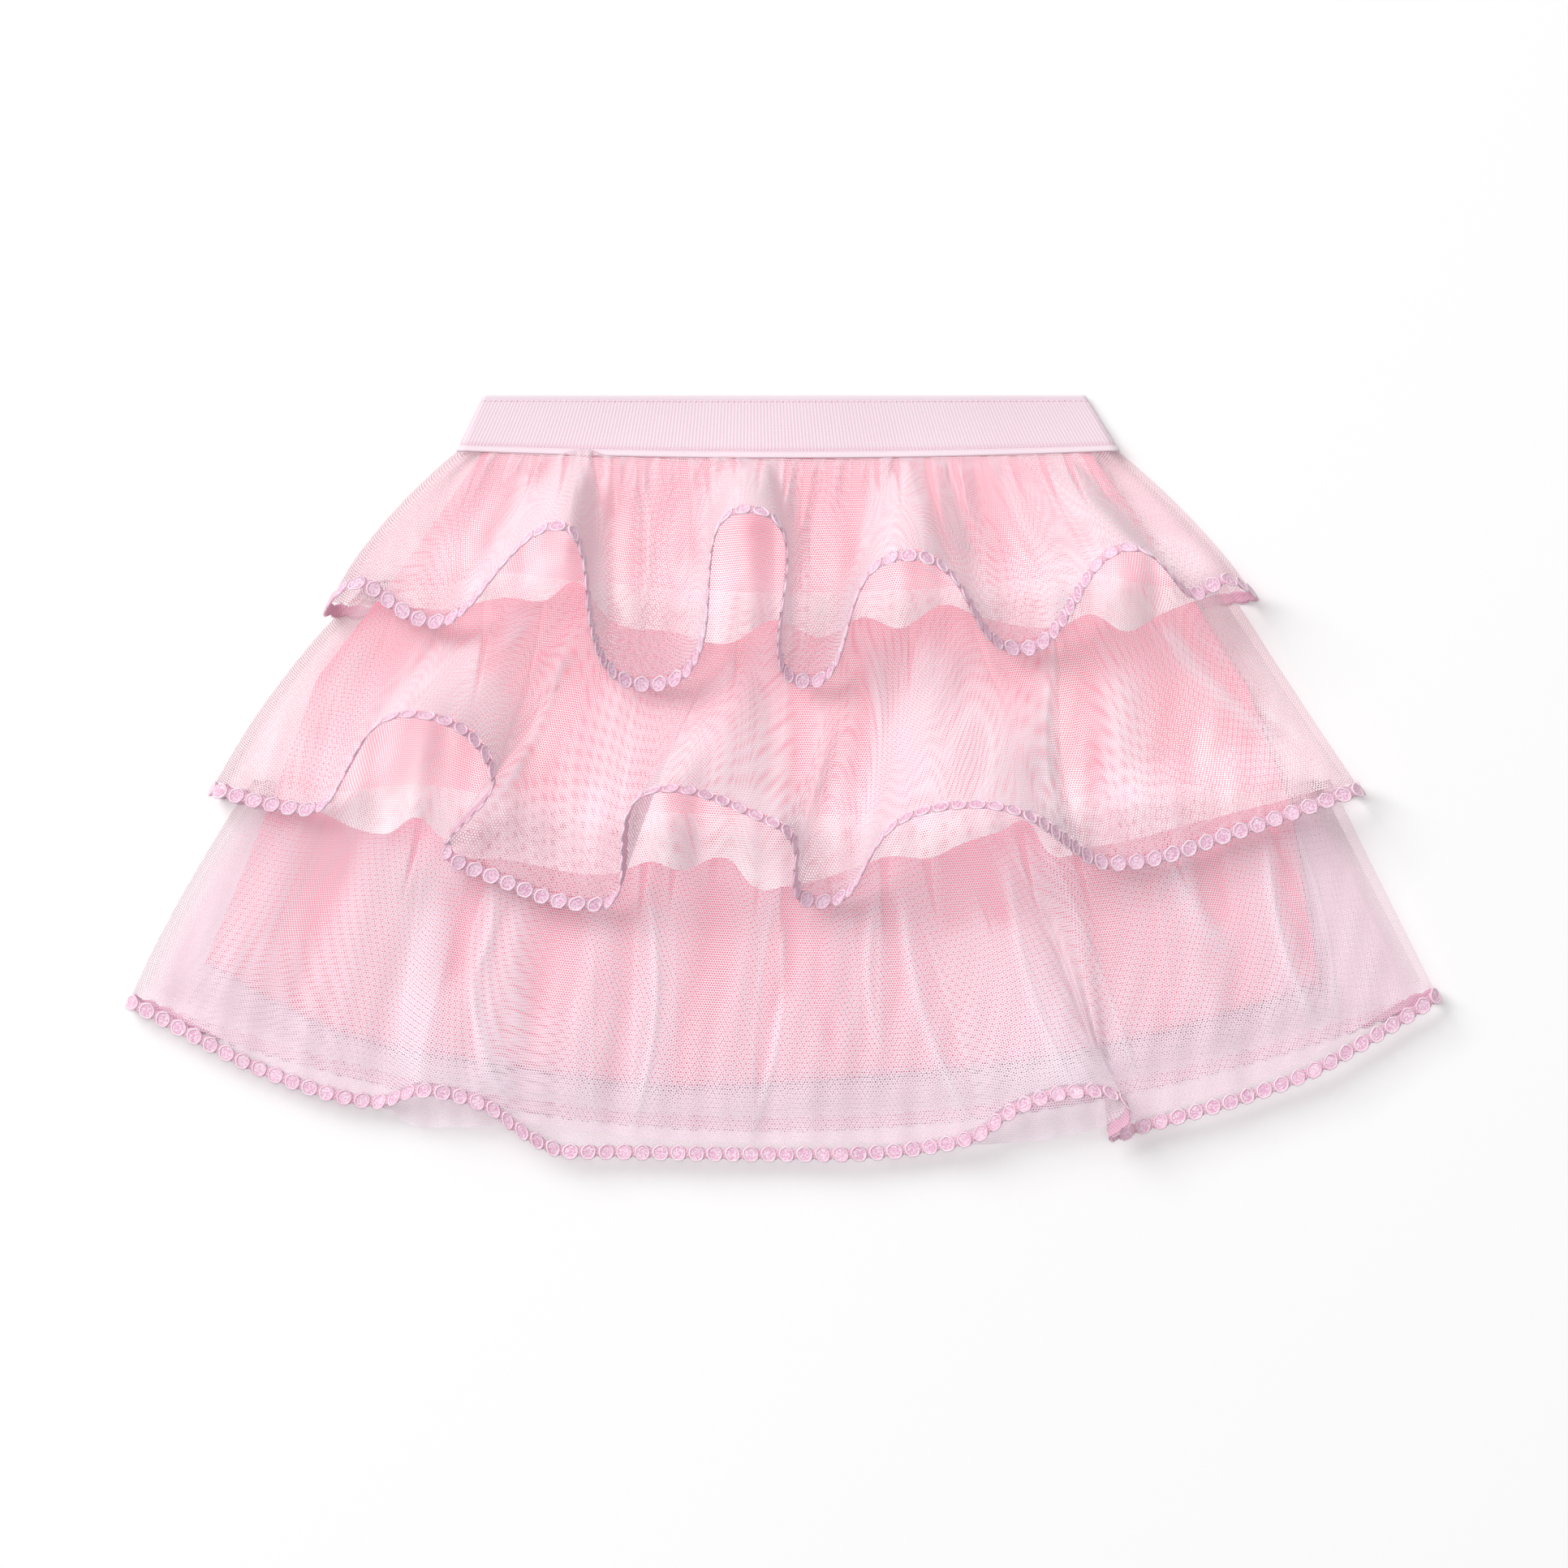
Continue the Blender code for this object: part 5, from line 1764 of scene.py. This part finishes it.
@dataclass
class Tier:
    """One tier: its two nets, its edging band and its circles."""

    surface: TierSurface
    origin: Origin
    cut_width: float
    cut_length: float
    under_cut_width: float
    under_cut_length: float
    outer_finish: NetFinish
    under_finish: NetFinish
    rows: int = 60
    step: float = 0.11
    under_columns: int = 420
    circle_pitch: float = 6.4
    circle_radius: float = 2.5
    thread_radius: float = 0.4
    band_rows: int = 6
    band_half: float = 1.5
    band_swell: float = 0.9
    band_wall: float = 0.35
    pressed_flat: float = 0.03
    net_closeness: float = -0.72
    under_closeness: float = -0.45
    steep_closeness: float = 0.9
    under_calm: float = 0.06
    crown: float = 0.16
    circle_lift: float = 0.42
    circle_shift: float = 0.1
    circle_stretch: float = 1.04
    size_change: float = 2.4
    dents: float = 7.0
    unevenness: float = 0.05

    @property
    def name(self) -> str:
        """Give the tier's name."""
        return self.surface.cut.name

    def outer_net(self) -> bpy.types.Object:
        """Build and dress the outer net.

        Returns:
            The net.
        """
        place = self.surface.places(self.step)
        unit = self.surface.unit(place)
        shares = np.linspace(0.0, 1.0, self.rows + 1)
        half = EDGING_WIDTH / 2
        grid_share = shares[:, None] * (1.0 - half * unit[None, :])
        grid_place = np.broadcast_to(place, grid_share.shape).copy()
        cloth = self.surface.ring(grid_place, grid_share)
        points = self.origin.world(cloth.points)
        lengths = row_lengths(points)[-1]
        down = np.linalg.norm(np.diff(points, axis=0), axis=2).sum(axis=0).mean()
        around = row_lengths(points)[self.rows // 3:].mean(axis=0)
        uv = np.stack(np.broadcast_arrays(around[None, :], shares[:, None] * down), axis=-1)
        closeness_and_shade = self.net_closeness + 4.0 * cloth.closeness_and_shade
        inside = ramp(0.0, CALM_COLUMNS, from_fold(place, self.surface.hem.columns))
        closeness_and_shade = closeness_and_shade + self.steep_closeness * slope_share(points) * inside
        bm = closed_sheet(points, uv, {"closeness_and_shade": closeness_and_shade})
        piece = finish_mesh(bm, f"{self.name}_outer_net", self.outer_finish)
        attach(piece, BODY)
        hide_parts(f"{self.name}_tier_tulle")
        log.info("%s: hem %.0f mm round, %.0f mm long", piece.name, lengths[-1] * 1000, down * 1000)
        return piece

    def under_net(self) -> bpy.types.Object:
        """Build and dress the raw-edged net under the outer one.

        Returns:
            The net.
        """
        close = np.array([0.0, 0.0004, 0.0015, 0.004, 0.008])
        front = np.linspace(0.012, 0.988, self.under_columns)
        part = ring_parts(close, front, np.linspace(0.02, 0.98, self.under_columns // 3))
        shares = np.linspace(0.0, 1.0, self.rows * 3 // 4)
        grid_part, grid_share = np.meshgrid(part, shares)
        cloth = self.surface.under_ring(grid_part, grid_share)
        points = self.origin.world(cloth.points)
        lengths = row_lengths(points)[-1]
        down = np.linalg.norm(np.diff(points, axis=0), axis=2).sum(axis=0)
        uv = np.stack(np.broadcast_arrays(lengths[None, :], shares[:, None] * down), axis=-1)
        closeness_and_shade = self.under_closeness + 4.0 * cloth.closeness_and_shade
        inside = ramp(0.0, self.under_calm, from_fold(part, 1.0))
        closeness_and_shade = closeness_and_shade + self.steep_closeness * slope_share(points) * inside
        bm = closed_sheet(points, uv, {"closeness_and_shade": closeness_and_shade})
        piece = finish_mesh(bm, f"{self.name}_under_layer", self.under_finish)
        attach(piece, BODY)
        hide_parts(f"{self.name}_tier_under_net")
        log.info("%s: hem %.0f mm round, %.0f mm long", piece.name, lengths[-1] * 1000, down.mean() * 1000)
        return piece

    def hem_line(self) -> tuple[Callable[[Array], Array], float, int]:
        """Measure the hem all round.

        Returns:
            A way to find the column at each length, the whole length and the count of circles.
        """
        place = np.unique(self.surface.places(0.05))
        points = self.surface.ring(place, np.ones_like(place)).points
        steps = np.linalg.norm(np.diff(points, axis=0), axis=1)
        length = np.concatenate([[0.0], np.cumsum(steps)])
        count = int(round(length[-1] / self.circle_pitch))
        return lambda at: np.interp(at, length, place), float(length[-1]), count

    def hem_points(self, place: Array, offset: Array) -> tuple[Array, Array]:
        """Find places on the edging.

        Args:
            place: Columns round the hem.
            offset: Distances below the middle of the edging.

        Returns:
            The places in millimetres, and the outward direction at each.
        """
        unit = self.surface.unit(place)
        here = self.surface.ring(place, 1.0 + offset * unit).points
        down = self.surface.ring(place, 1.0 + (offset + 0.3) * unit).points - here
        columns = 2.0 * self.surface.hem.columns
        ahead = np.clip(place + 0.03, 0.0, columns)
        behind = np.clip(place - 0.03, 0.0, columns)
        along = self.surface.ring(ahead, 1.0 + offset * unit).points
        along = along - self.surface.ring(behind, 1.0 + offset * unit).points
        normal = np.cross(along, down)
        normal = normal / np.maximum(np.linalg.norm(normal, axis=-1, keepdims=True), 1e-9)
        return here, normal

    def edging_band(self) -> bpy.types.Object:
        """Build and dress the narrow band that the circles are sewn on, scalloped below.

        Returns:
            The band.
        """
        column_at, length, count = self.hem_line()
        at = np.linspace(0.0, length, 8 * count + 1)
        place = column_at(at)
        scallop = np.abs(np.sin(math.pi * at / length * count))
        low = self.band_half + self.band_swell * np.sqrt(scallop)
        top = -self.band_half - self.band_swell * np.sqrt(scallop)
        shares = np.linspace(0.0, 1.0, self.band_rows)[:, None]
        offset = top[None, :] + (low - top)[None, :] * shares
        grid_place = np.broadcast_to(place, offset.shape).copy()
        here, normal = self.hem_points(grid_place, offset)
        crown = self.crown * np.sin(math.pi * shares)[..., None]
        points = self.origin.world(here + normal * crown)
        points[..., 2] = np.maximum(points[..., 2], (self.pressed_flat + self.band_wall / 2) * MM)
        uv = np.stack(np.broadcast_arrays(at[None, :] * MM, offset * MM), axis=-1)
        bm = closed_sheet(points, uv, {})
        piece = finish_mesh(bm, f"{self.name}_hem_band", HATCH)
        thicken(piece, self.band_wall, 0.0)
        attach(piece, BODY)
        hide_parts(f"{self.name}_tier_edging")
        return piece

    def circle_template(self) -> tuple[bmesh.types.BMesh, int]:
        """Make one embroidered circle, flat and centred.

        Returns:
            The circle and how many faces its ring has.
        """
        bm = bmesh.new()
        made = bmesh.ops.create_circle(bm, segments=4, radius=self.thread_radius)
        start = Matrix.Translation((self.circle_radius, 0.0, 0.0)) @ Matrix.Rotation(math.pi / 2, 4, "X")
        bmesh.ops.transform(bm, matrix=start, verts=made["verts"])
        profile = bm.verts[:] + bm.edges[:]
        bmesh.ops.spin(
            bm, geom=profile, cent=(0, 0, 0), axis=(0, 0, 1), angle=2 * math.pi, steps=12, use_merge=True,
        )
        bmesh.ops.recalc_face_normals(bm, faces=bm.faces[:])
        ring_faces = len(bm.faces)
        bmesh.ops.create_circle(
            bm, segments=10, radius=self.circle_radius, cap_ends=True, cap_tris=True,
        )
        return bm, ring_faces

    def circles(self) -> bpy.types.Object:
        """Build and dress the row of embroidered circles along the hem.

        Returns:
            The circles, joined.
        """
        column_at, length, count = self.hem_line()
        template, ring_faces = self.circle_template()
        shape = np.array([vertex.co[:] for vertex in template.verts])
        pitch = length / count
        bm = bmesh.new()
        mesh = bpy.data.meshes.new("circle")
        template.to_mesh(mesh)
        template.free()
        for _ in range(count):
            bm.from_mesh(mesh)
        bpy.data.meshes.remove(mesh)
        middles = (np.arange(count) + 0.5) * pitch
        wobble = 1.0 + self.unevenness * np.sin(np.arange(count) * self.size_change)[:, None]
        around = np.arctan2(shape[:, 1], shape[:, 0])
        swell = 1.0 + self.unevenness * np.sin(self.dents * around)[None, :]
        along = middles[:, None] + shape[None, :, 0] * wobble * swell
        offset = self.circle_shift + shape[None, :, 1] * swell * self.circle_stretch
        offset = offset + np.zeros_like(along)
        place = column_at(np.mod(along, length))
        here, normal = self.hem_points(place, offset)
        lift = self.circle_lift + shape[None, :, 2, None]
        points = self.origin.world(here + normal * lift).reshape(-1, 3)
        points[:, 2] = np.maximum(points[:, 2], self.pressed_flat * MM)
        for vertex, point in zip(bm.verts, points):
            vertex.co = point
        bm.faces.ensure_lookup_table()
        faces = len(bm.faces) // count
        bm.normal_update()
        piece = finish_mesh(bm, f"{self.name}_hem_circles", CIRCLE_THREAD)
        piece.data.materials.append(HATCH_DISC.material())
        for polygon in piece.data.polygons:
            if polygon.index % faces >= ring_faces:
                polygon.material_index = 1
        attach(piece, BODY)
        log.info("%s: %d circles", piece.name, count)
        return piece

    def build(self, rests_on: list[str]) -> list[bpy.types.Object]:
        """Build the whole tier.

        Args:
            rests_on: What the tier lies on; not used.

        Returns:
            The tier's pieces.
        """
        band = self.edging_band()
        circles = self.circles()
        outer = self.outer_net()
        under = self.under_net()
        return [band, circles, outer, under]


@dataclass
class Lining:
    """The opaque lining that the two lower tiers are sewn to."""

    drape: Drape
    origin: Origin
    columns: int = 150
    rows: int = 60
    thickness: float = 0.5
    tucked: float = 1.6
    fold: float = 0.35
    cut_width: float = 0.813
    cut_length: float = 0.219

    def ring(self, part: Array, share: Array) -> Array:
        """Shape the lining all round.

        Args:
            part: From 0 to 1 along the front, then to 2 along the back to the left side.
            share: Shares of the lining's length.

        Returns:
            Across, drop and height of each point.
        """
        behind, along = folded(part)
        first = LINING_SIDES[0]
        last = LINING_SIDES[-1]
        top = first.left + (first.right - first.left) * along
        start = self.drape.seam_drop(0, top) - self.tucked
        hem_across = LINING_HEM[0].across + (LINING_HEM[-1].across - LINING_HEM[0].across) * along
        end = edge_drop(LINING_HEM, hem_across)
        end = end - np.where(behind, LINING_BACK_SHORTER * np.sin(math.pi * along), 0.0)
        drop = start + (end - start) * share
        side_drop = first.drop + (last.drop - first.drop) * share
        drops = [section.drop for section in LINING_SIDES]
        left = np.interp(side_drop, drops, [section.left for section in LINING_SIDES])
        right = np.interp(side_drop, drops, [section.right for section in LINING_SIDES])
        across = left + (right - left) * along
        low = self.drape.lining_back(across, drop)
        high = self.drape.lining_front(across, drop)
        turn = side_round(np.minimum(across - left, right - across), (LINING_WALL + LINING_INNER_GAP) / 2)
        folds = self.fold * np.sin(0.09 * across + 0.6 * np.sin(0.03 * drop)) * ramp(0.3, 0.9, share)
        reach = np.where(behind, (low - high) / 2, (high - low) / 2)
        height = (low + high) / 2 + reach * turn + folds * turn
        return np.stack([across, drop, height], axis=-1)

    def build(self) -> list[bpy.types.Object]:
        """Build and dress the lining.

        Returns:
            The lining, as the only piece of a list.
        """
        close = np.array([0.0, 0.0003, 0.001, 0.0025, 0.005])
        side = np.linspace(0.01, 0.99, self.columns)
        part = ring_parts(close, side, side)
        grid_part, grid_share = np.meshgrid(part, np.linspace(0.0, 1.0, self.rows))
        points = self.origin.world(self.ring(grid_part, grid_share))
        lengths = row_lengths(points)[-1]
        down = np.linalg.norm(np.diff(points, axis=0), axis=2).sum(axis=0).mean()
        uv = np.stack(np.broadcast_arrays(lengths[None, :], grid_share * down), axis=-1)
        bm = closed_sheet(points, uv, {})
        piece = finish_mesh(bm, "opaque_lining", LINING_KNIT)
        thicken(piece, self.thickness, 0.0)
        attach(piece, BODY)
        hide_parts("lining")
        log.info("%s: hem %.0f mm round, %.0f mm long", piece.name, lengths[-1] * 1000, down * 1000)
        return [piece]


@dataclass
class Waistband:
    """The ribbed elastic waistband with its two rows of stitches."""

    origin: Origin
    top_left: float = -106.0
    top_right: float = 107.0
    low_left: float = -115.5
    low_right: float = 119.0
    height: float = 20.0
    sag: float = 2.6
    top_front: float = 3.4
    low_front: float = 7.3
    front_power: float = 1.5
    wall: float = 1.6
    rib_pitch: float = 1.25
    rib_height: float = 0.2
    rib_start: tuple[float, float] = (1.0, 2.6)
    rib_end: tuple[float, float] = (17.2, 18.0)
    upper_roll: float = 0.15
    upper_roll_end: tuple[float, float] = (0.6, 1.6)
    lower_roll: float = 0.2
    lower_roll_start: tuple[float, float] = (18.0, 19.0)
    groove_depth: float = 0.32
    groove_half: float = 0.5
    upper_groove_half: float = 0.45
    upper_groove_share: float = 0.6
    rolled_tone: float = 0.8
    # Painted shade in the stitched grooves
    groove_shade: float = 0.9
    surface_out: float = 0.2
    lower_stitch_drop: float = 17.6
    upper_stitch_drop: float = 1.9
    stitch_pitch: float = 2.1
    stitch_length: float = 1.3
    stitch_radius: float = 0.2
    stitch_lift: tuple[float, float, float] = (-0.05, 0.22, -0.05)
    rows: int = 32
    cut_width: float = 0.479
    cut_length: float = 0.022

    def ring(self, part: Array, share: Array, out: Array) -> Array:
        """Shape the band all round.

        Args:
            part: From 0 to 1 along the front, then to 2 along the back to the left side.
            share: Shares of the band's height.
            out: How far outside the middle of the wall each point lies.

        Returns:
            Across, drop and height of each point.
        """
        behind, along = folded(part)
        left = self.top_left + (self.low_left - self.top_left) * share
        right = self.top_right + (self.low_right - self.top_right) * share
        across = left + (right - left) * along
        sag = self.sag * (1 - (2 * along - 1) ** 2)
        drop = (self.height + sag - SEAM_GAP) * share
        low = self.wall / 2
        high = self.top_front + (self.low_front - self.top_front) * share ** self.front_power
        radius = (high - low) / 2
        turn = side_round(np.minimum(across - left, right - across), radius)
        lean = np.clip(1.0 - np.minimum(across - left, right - across) / radius, 0.0, 1.0)
        outward = np.where(along < 0.5, -1.0, 1.0) * lean
        reach = np.where(behind, -(radius + out), radius + out)
        wave = 0.25 * np.sin(0.05 * across + 1.0) * np.sin(math.pi * share)
        height = (low + high) / 2 + reach * turn + np.where(behind, 0.0, wave * turn)
        return np.stack([across + outward * out, drop, height], axis=-1)

    def rib_profile(self, part: Array, share: Array) -> tuple[Array, Array]:
        """Give the elastic's ribs, rolled edges and stitched grooves.

        Args:
            part: Places round the band.
            share: Shares of its height.

        Returns:
            How far each point stands out, and its tone: lighter on the rib tops and darker in the stitched
            grooves, as painted light and shade.
        """
        width = self.low_right - self.low_left
        drop = share * self.height
        rib = 0.5 + 0.5 * np.cos(2 * math.pi * part * width / self.rib_pitch)
        ribbed = ramp(*self.rib_start, drop) * (1.0 - ramp(*self.rib_end, drop))
        shaded_groove = np.exp(-(((drop - self.lower_stitch_drop) / self.groove_half) ** 2))
        upper = np.exp(-(((drop - self.upper_stitch_drop) / self.upper_groove_half) ** 2))
        shaded_groove = shaded_groove + self.upper_groove_share * upper
        roll = self.lower_roll * ramp(*self.lower_roll_start, drop)
        roll = roll + self.upper_roll * (1.0 - ramp(*self.upper_roll_end, drop))
        out = self.rib_height * rib * ribbed + roll - self.groove_depth * shaded_groove
        tone = rib * ribbed + (1.0 - ribbed) * self.rolled_tone
        return out, tone - self.groove_shade * np.clip(shaded_groove, 0.0, 1.0)

    def build(self) -> list[bpy.types.Object]:
        """Build and dress the band.

        Returns:
            The band and its stitches.
        """
        width = self.low_right - self.low_left
        count = int(round(4 * width / self.rib_pitch))
        close = np.array([0.0, 0.0006, 0.002])
        side = np.concatenate([close, np.linspace(0.004, 0.996, count), 1.0 - close[::-1]])
        part = np.concatenate([side, 1.0 + side[1:]])
        inner = np.linspace(0.0, 1.0, self.rows)
        grid_part, grid_share = np.meshgrid(part, inner)
        out, rib = self.rib_profile(grid_part, grid_share)
        points = self.origin.world(self.ring(grid_part, grid_share, out + self.surface_out))
        lengths = row_lengths(points)[-1]
        uv = np.stack(np.broadcast_arrays(lengths[None, :], grid_share * self.height * MM), axis=-1)
        bm = closed_sheet(points, uv, {"rib": rib})
        piece = finish_mesh(bm, "waist_elastic", ELASTIC)
        thicken(piece, self.wall / 2, -1.0)
        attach(piece, BODY)
        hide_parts("waistband")
        stitches = self.stitches()
        log.info("%s: %.0f mm round", piece.name, lengths[-1] * 1000)
        return [piece, stitches]

    def stitches(self) -> bpy.types.Object:
        """Build and dress the two rows of stitches.

        Returns:
            The stitches, joined.
        """
        bm = bmesh.new()
        for stitch_drop in (self.upper_stitch_drop, self.lower_stitch_drop):
            share = stitch_drop / self.height
            width = (self.top_right - self.top_left) + (self.low_right - self.low_left) * share
            count = int(round(2 * width / self.stitch_pitch))
            for index in range(count):
                middle = (index + 0.5) / count * 2.0
                half = self.stitch_length / 2 / width
                ends = np.array([middle - half, middle, middle + half])
                shares = np.full(3, share)
                out, _ = self.rib_profile(ends, shares)
                lift = out + self.surface_out + self.stitch_lift
                places = self.origin.world(self.ring(ends, shares, lift))
                self.add_stitch(bm, [Vector(place) for place in places])
        piece = finish_mesh(bm, "waist_stitches", SEWING_THREAD)
        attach(piece, BODY)
        return piece

    def add_stitch(self, bm: bmesh.types.BMesh, places: list[Vector]) -> None:
        """Add one stitch, thick in the middle.

        Args:
            bm: The mesh that it is added to.
            places: Its start, its middle and its end.
        """
        first, middle, last = places
        run = last - first
        made = bmesh.ops.create_icosphere(bm, subdivisions=1, radius=1.0)
        turn = run.to_track_quat("X", "Z").to_matrix().to_4x4()
        radius = self.stitch_radius * MM
        size = Matrix.Diagonal((run.length / 2, radius, radius, 1.0))
        bmesh.ops.transform(bm, matrix=Matrix.Translation(middle) @ turn @ size, verts=made["verts"])


@dataclass
class Studio:
    """A white surface, soft light from the upper left and a camera straight above."""

    image_pixels: float = 1932.0
    millimetres_per_pixel: float = 0.288
    middle: tuple[float, float] = (0.4, 137.7)
    distance: float = 2.4
    sensor: float = 36.0
    floor_size: float = 6.0
    floor_drop: float = 0.0004
    key_energy: float = 300.0
    key_size: float = 4.0
    key_place: tuple[float, float, float] = (-3.5, 3.0, 4.3)
    top_energy: float = 33.0
    top_size: float = 1.6
    top_height: float = 4.0
    sky: float = 0.39

    def build(self, origin: Origin) -> None:
        """Build the floor, the lights and the camera.

        Args:
            origin: Where the drawing's zero lies.
        """
        scene = bpy.context.scene
        self.floor()
        self.light("key", self.key_place, self.key_energy, self.key_size)
        self.light("top", (0.0, 0.0, self.top_height), self.top_energy, self.top_size)
        world = bpy.data.worlds.new("soft light")
        world.use_nodes = True
        sky = world.node_tree.nodes["Background"]
        sky.inputs["Color"].default_value = (1.0, 1.0, 1.0, 1.0)
        sky.inputs["Strength"].default_value = self.sky
        scene.world = world
        self.camera(origin)
        scene.view_settings.view_transform = "Standard"
        scene.view_settings.look = "None"

    def floor(self) -> None:
        """Build the surface that the skirt lies on."""
        bm = bmesh.new()
        bmesh.ops.create_grid(bm, x_segments=1, y_segments=1, size=self.floor_size / 2)
        bmesh.ops.translate(bm, vec=(0.0, 0.0, -self.floor_drop), verts=bm.verts[:])
        floor = finish_mesh(bm, "white_surface", FLOOR)

    def light(self, name: str, place: tuple[float, float, float], energy: float, size: float) -> None:
        """Add a soft lamp that looks at the skirt.

        Args:
            name: The lamp's name.
            place: Where it stands.
            energy: Its power.
            size: How wide it is.
        """
        data = bpy.data.lights.new(name, "AREA")
        data.energy = energy
        data.size = size
        lamp = bpy.data.objects.new(name, data)
        lamp.location = place
        lamp.rotation_euler = (-Vector(place)).to_track_quat("-Z", "Y").to_euler()
        bpy.context.scene.collection.objects.link(lamp)

    def camera(self, origin: Origin) -> None:
        """Add the camera, straight above the middle of the picture.

        Args:
            origin: Where the drawing's zero lies.
        """
        width = self.image_pixels * self.millimetres_per_pixel
        data = bpy.data.cameras.new("above")
        data.sensor_width = self.sensor
        data.lens = self.sensor * self.distance / (width * MM)
        camera = bpy.data.objects.new("above", data)
        place = origin.world(np.array([*self.middle, 0.0]))
        camera.location = (place[0], place[1], self.distance)
        bpy.context.scene.collection.objects.link(camera)
        bpy.context.scene.camera = camera


# Width round the hem and length from seam to hem of each tier's outer net, then of its under net, in metres
CUT_SIZES = {
    "upper": (0.953, 0.060, 0.713, 0.063),
    "middle": (1.021, 0.091, 0.870, 0.095),
    "lower": (1.004, 0.104, 0.955, 0.106),
}


def main() -> None:
    """Build the skirt and its studio."""
    logging.basicConfig(level=logging.INFO, format="%(message)s")
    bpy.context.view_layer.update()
    origin = Origin()
    drape = Drape(CUTS)
    Studio().build(origin)
    pieces = []
    for level, cut in enumerate(CUTS):
        tier = Tier(TierSurface(drape, level), origin, *CUT_SIZES[cut.name], *NETS[cut.name])
        pieces += tier.build(["lining"])
    pieces += Lining(drape, origin).build()
    pieces += Waistband(origin).build()
    for piece in pieces:
        mesh = piece.data
        log.info("%s: %d faces, %d finishes", piece.name, len(mesh.polygons), len(mesh.materials))


if __name__ == "__main__":
    main()
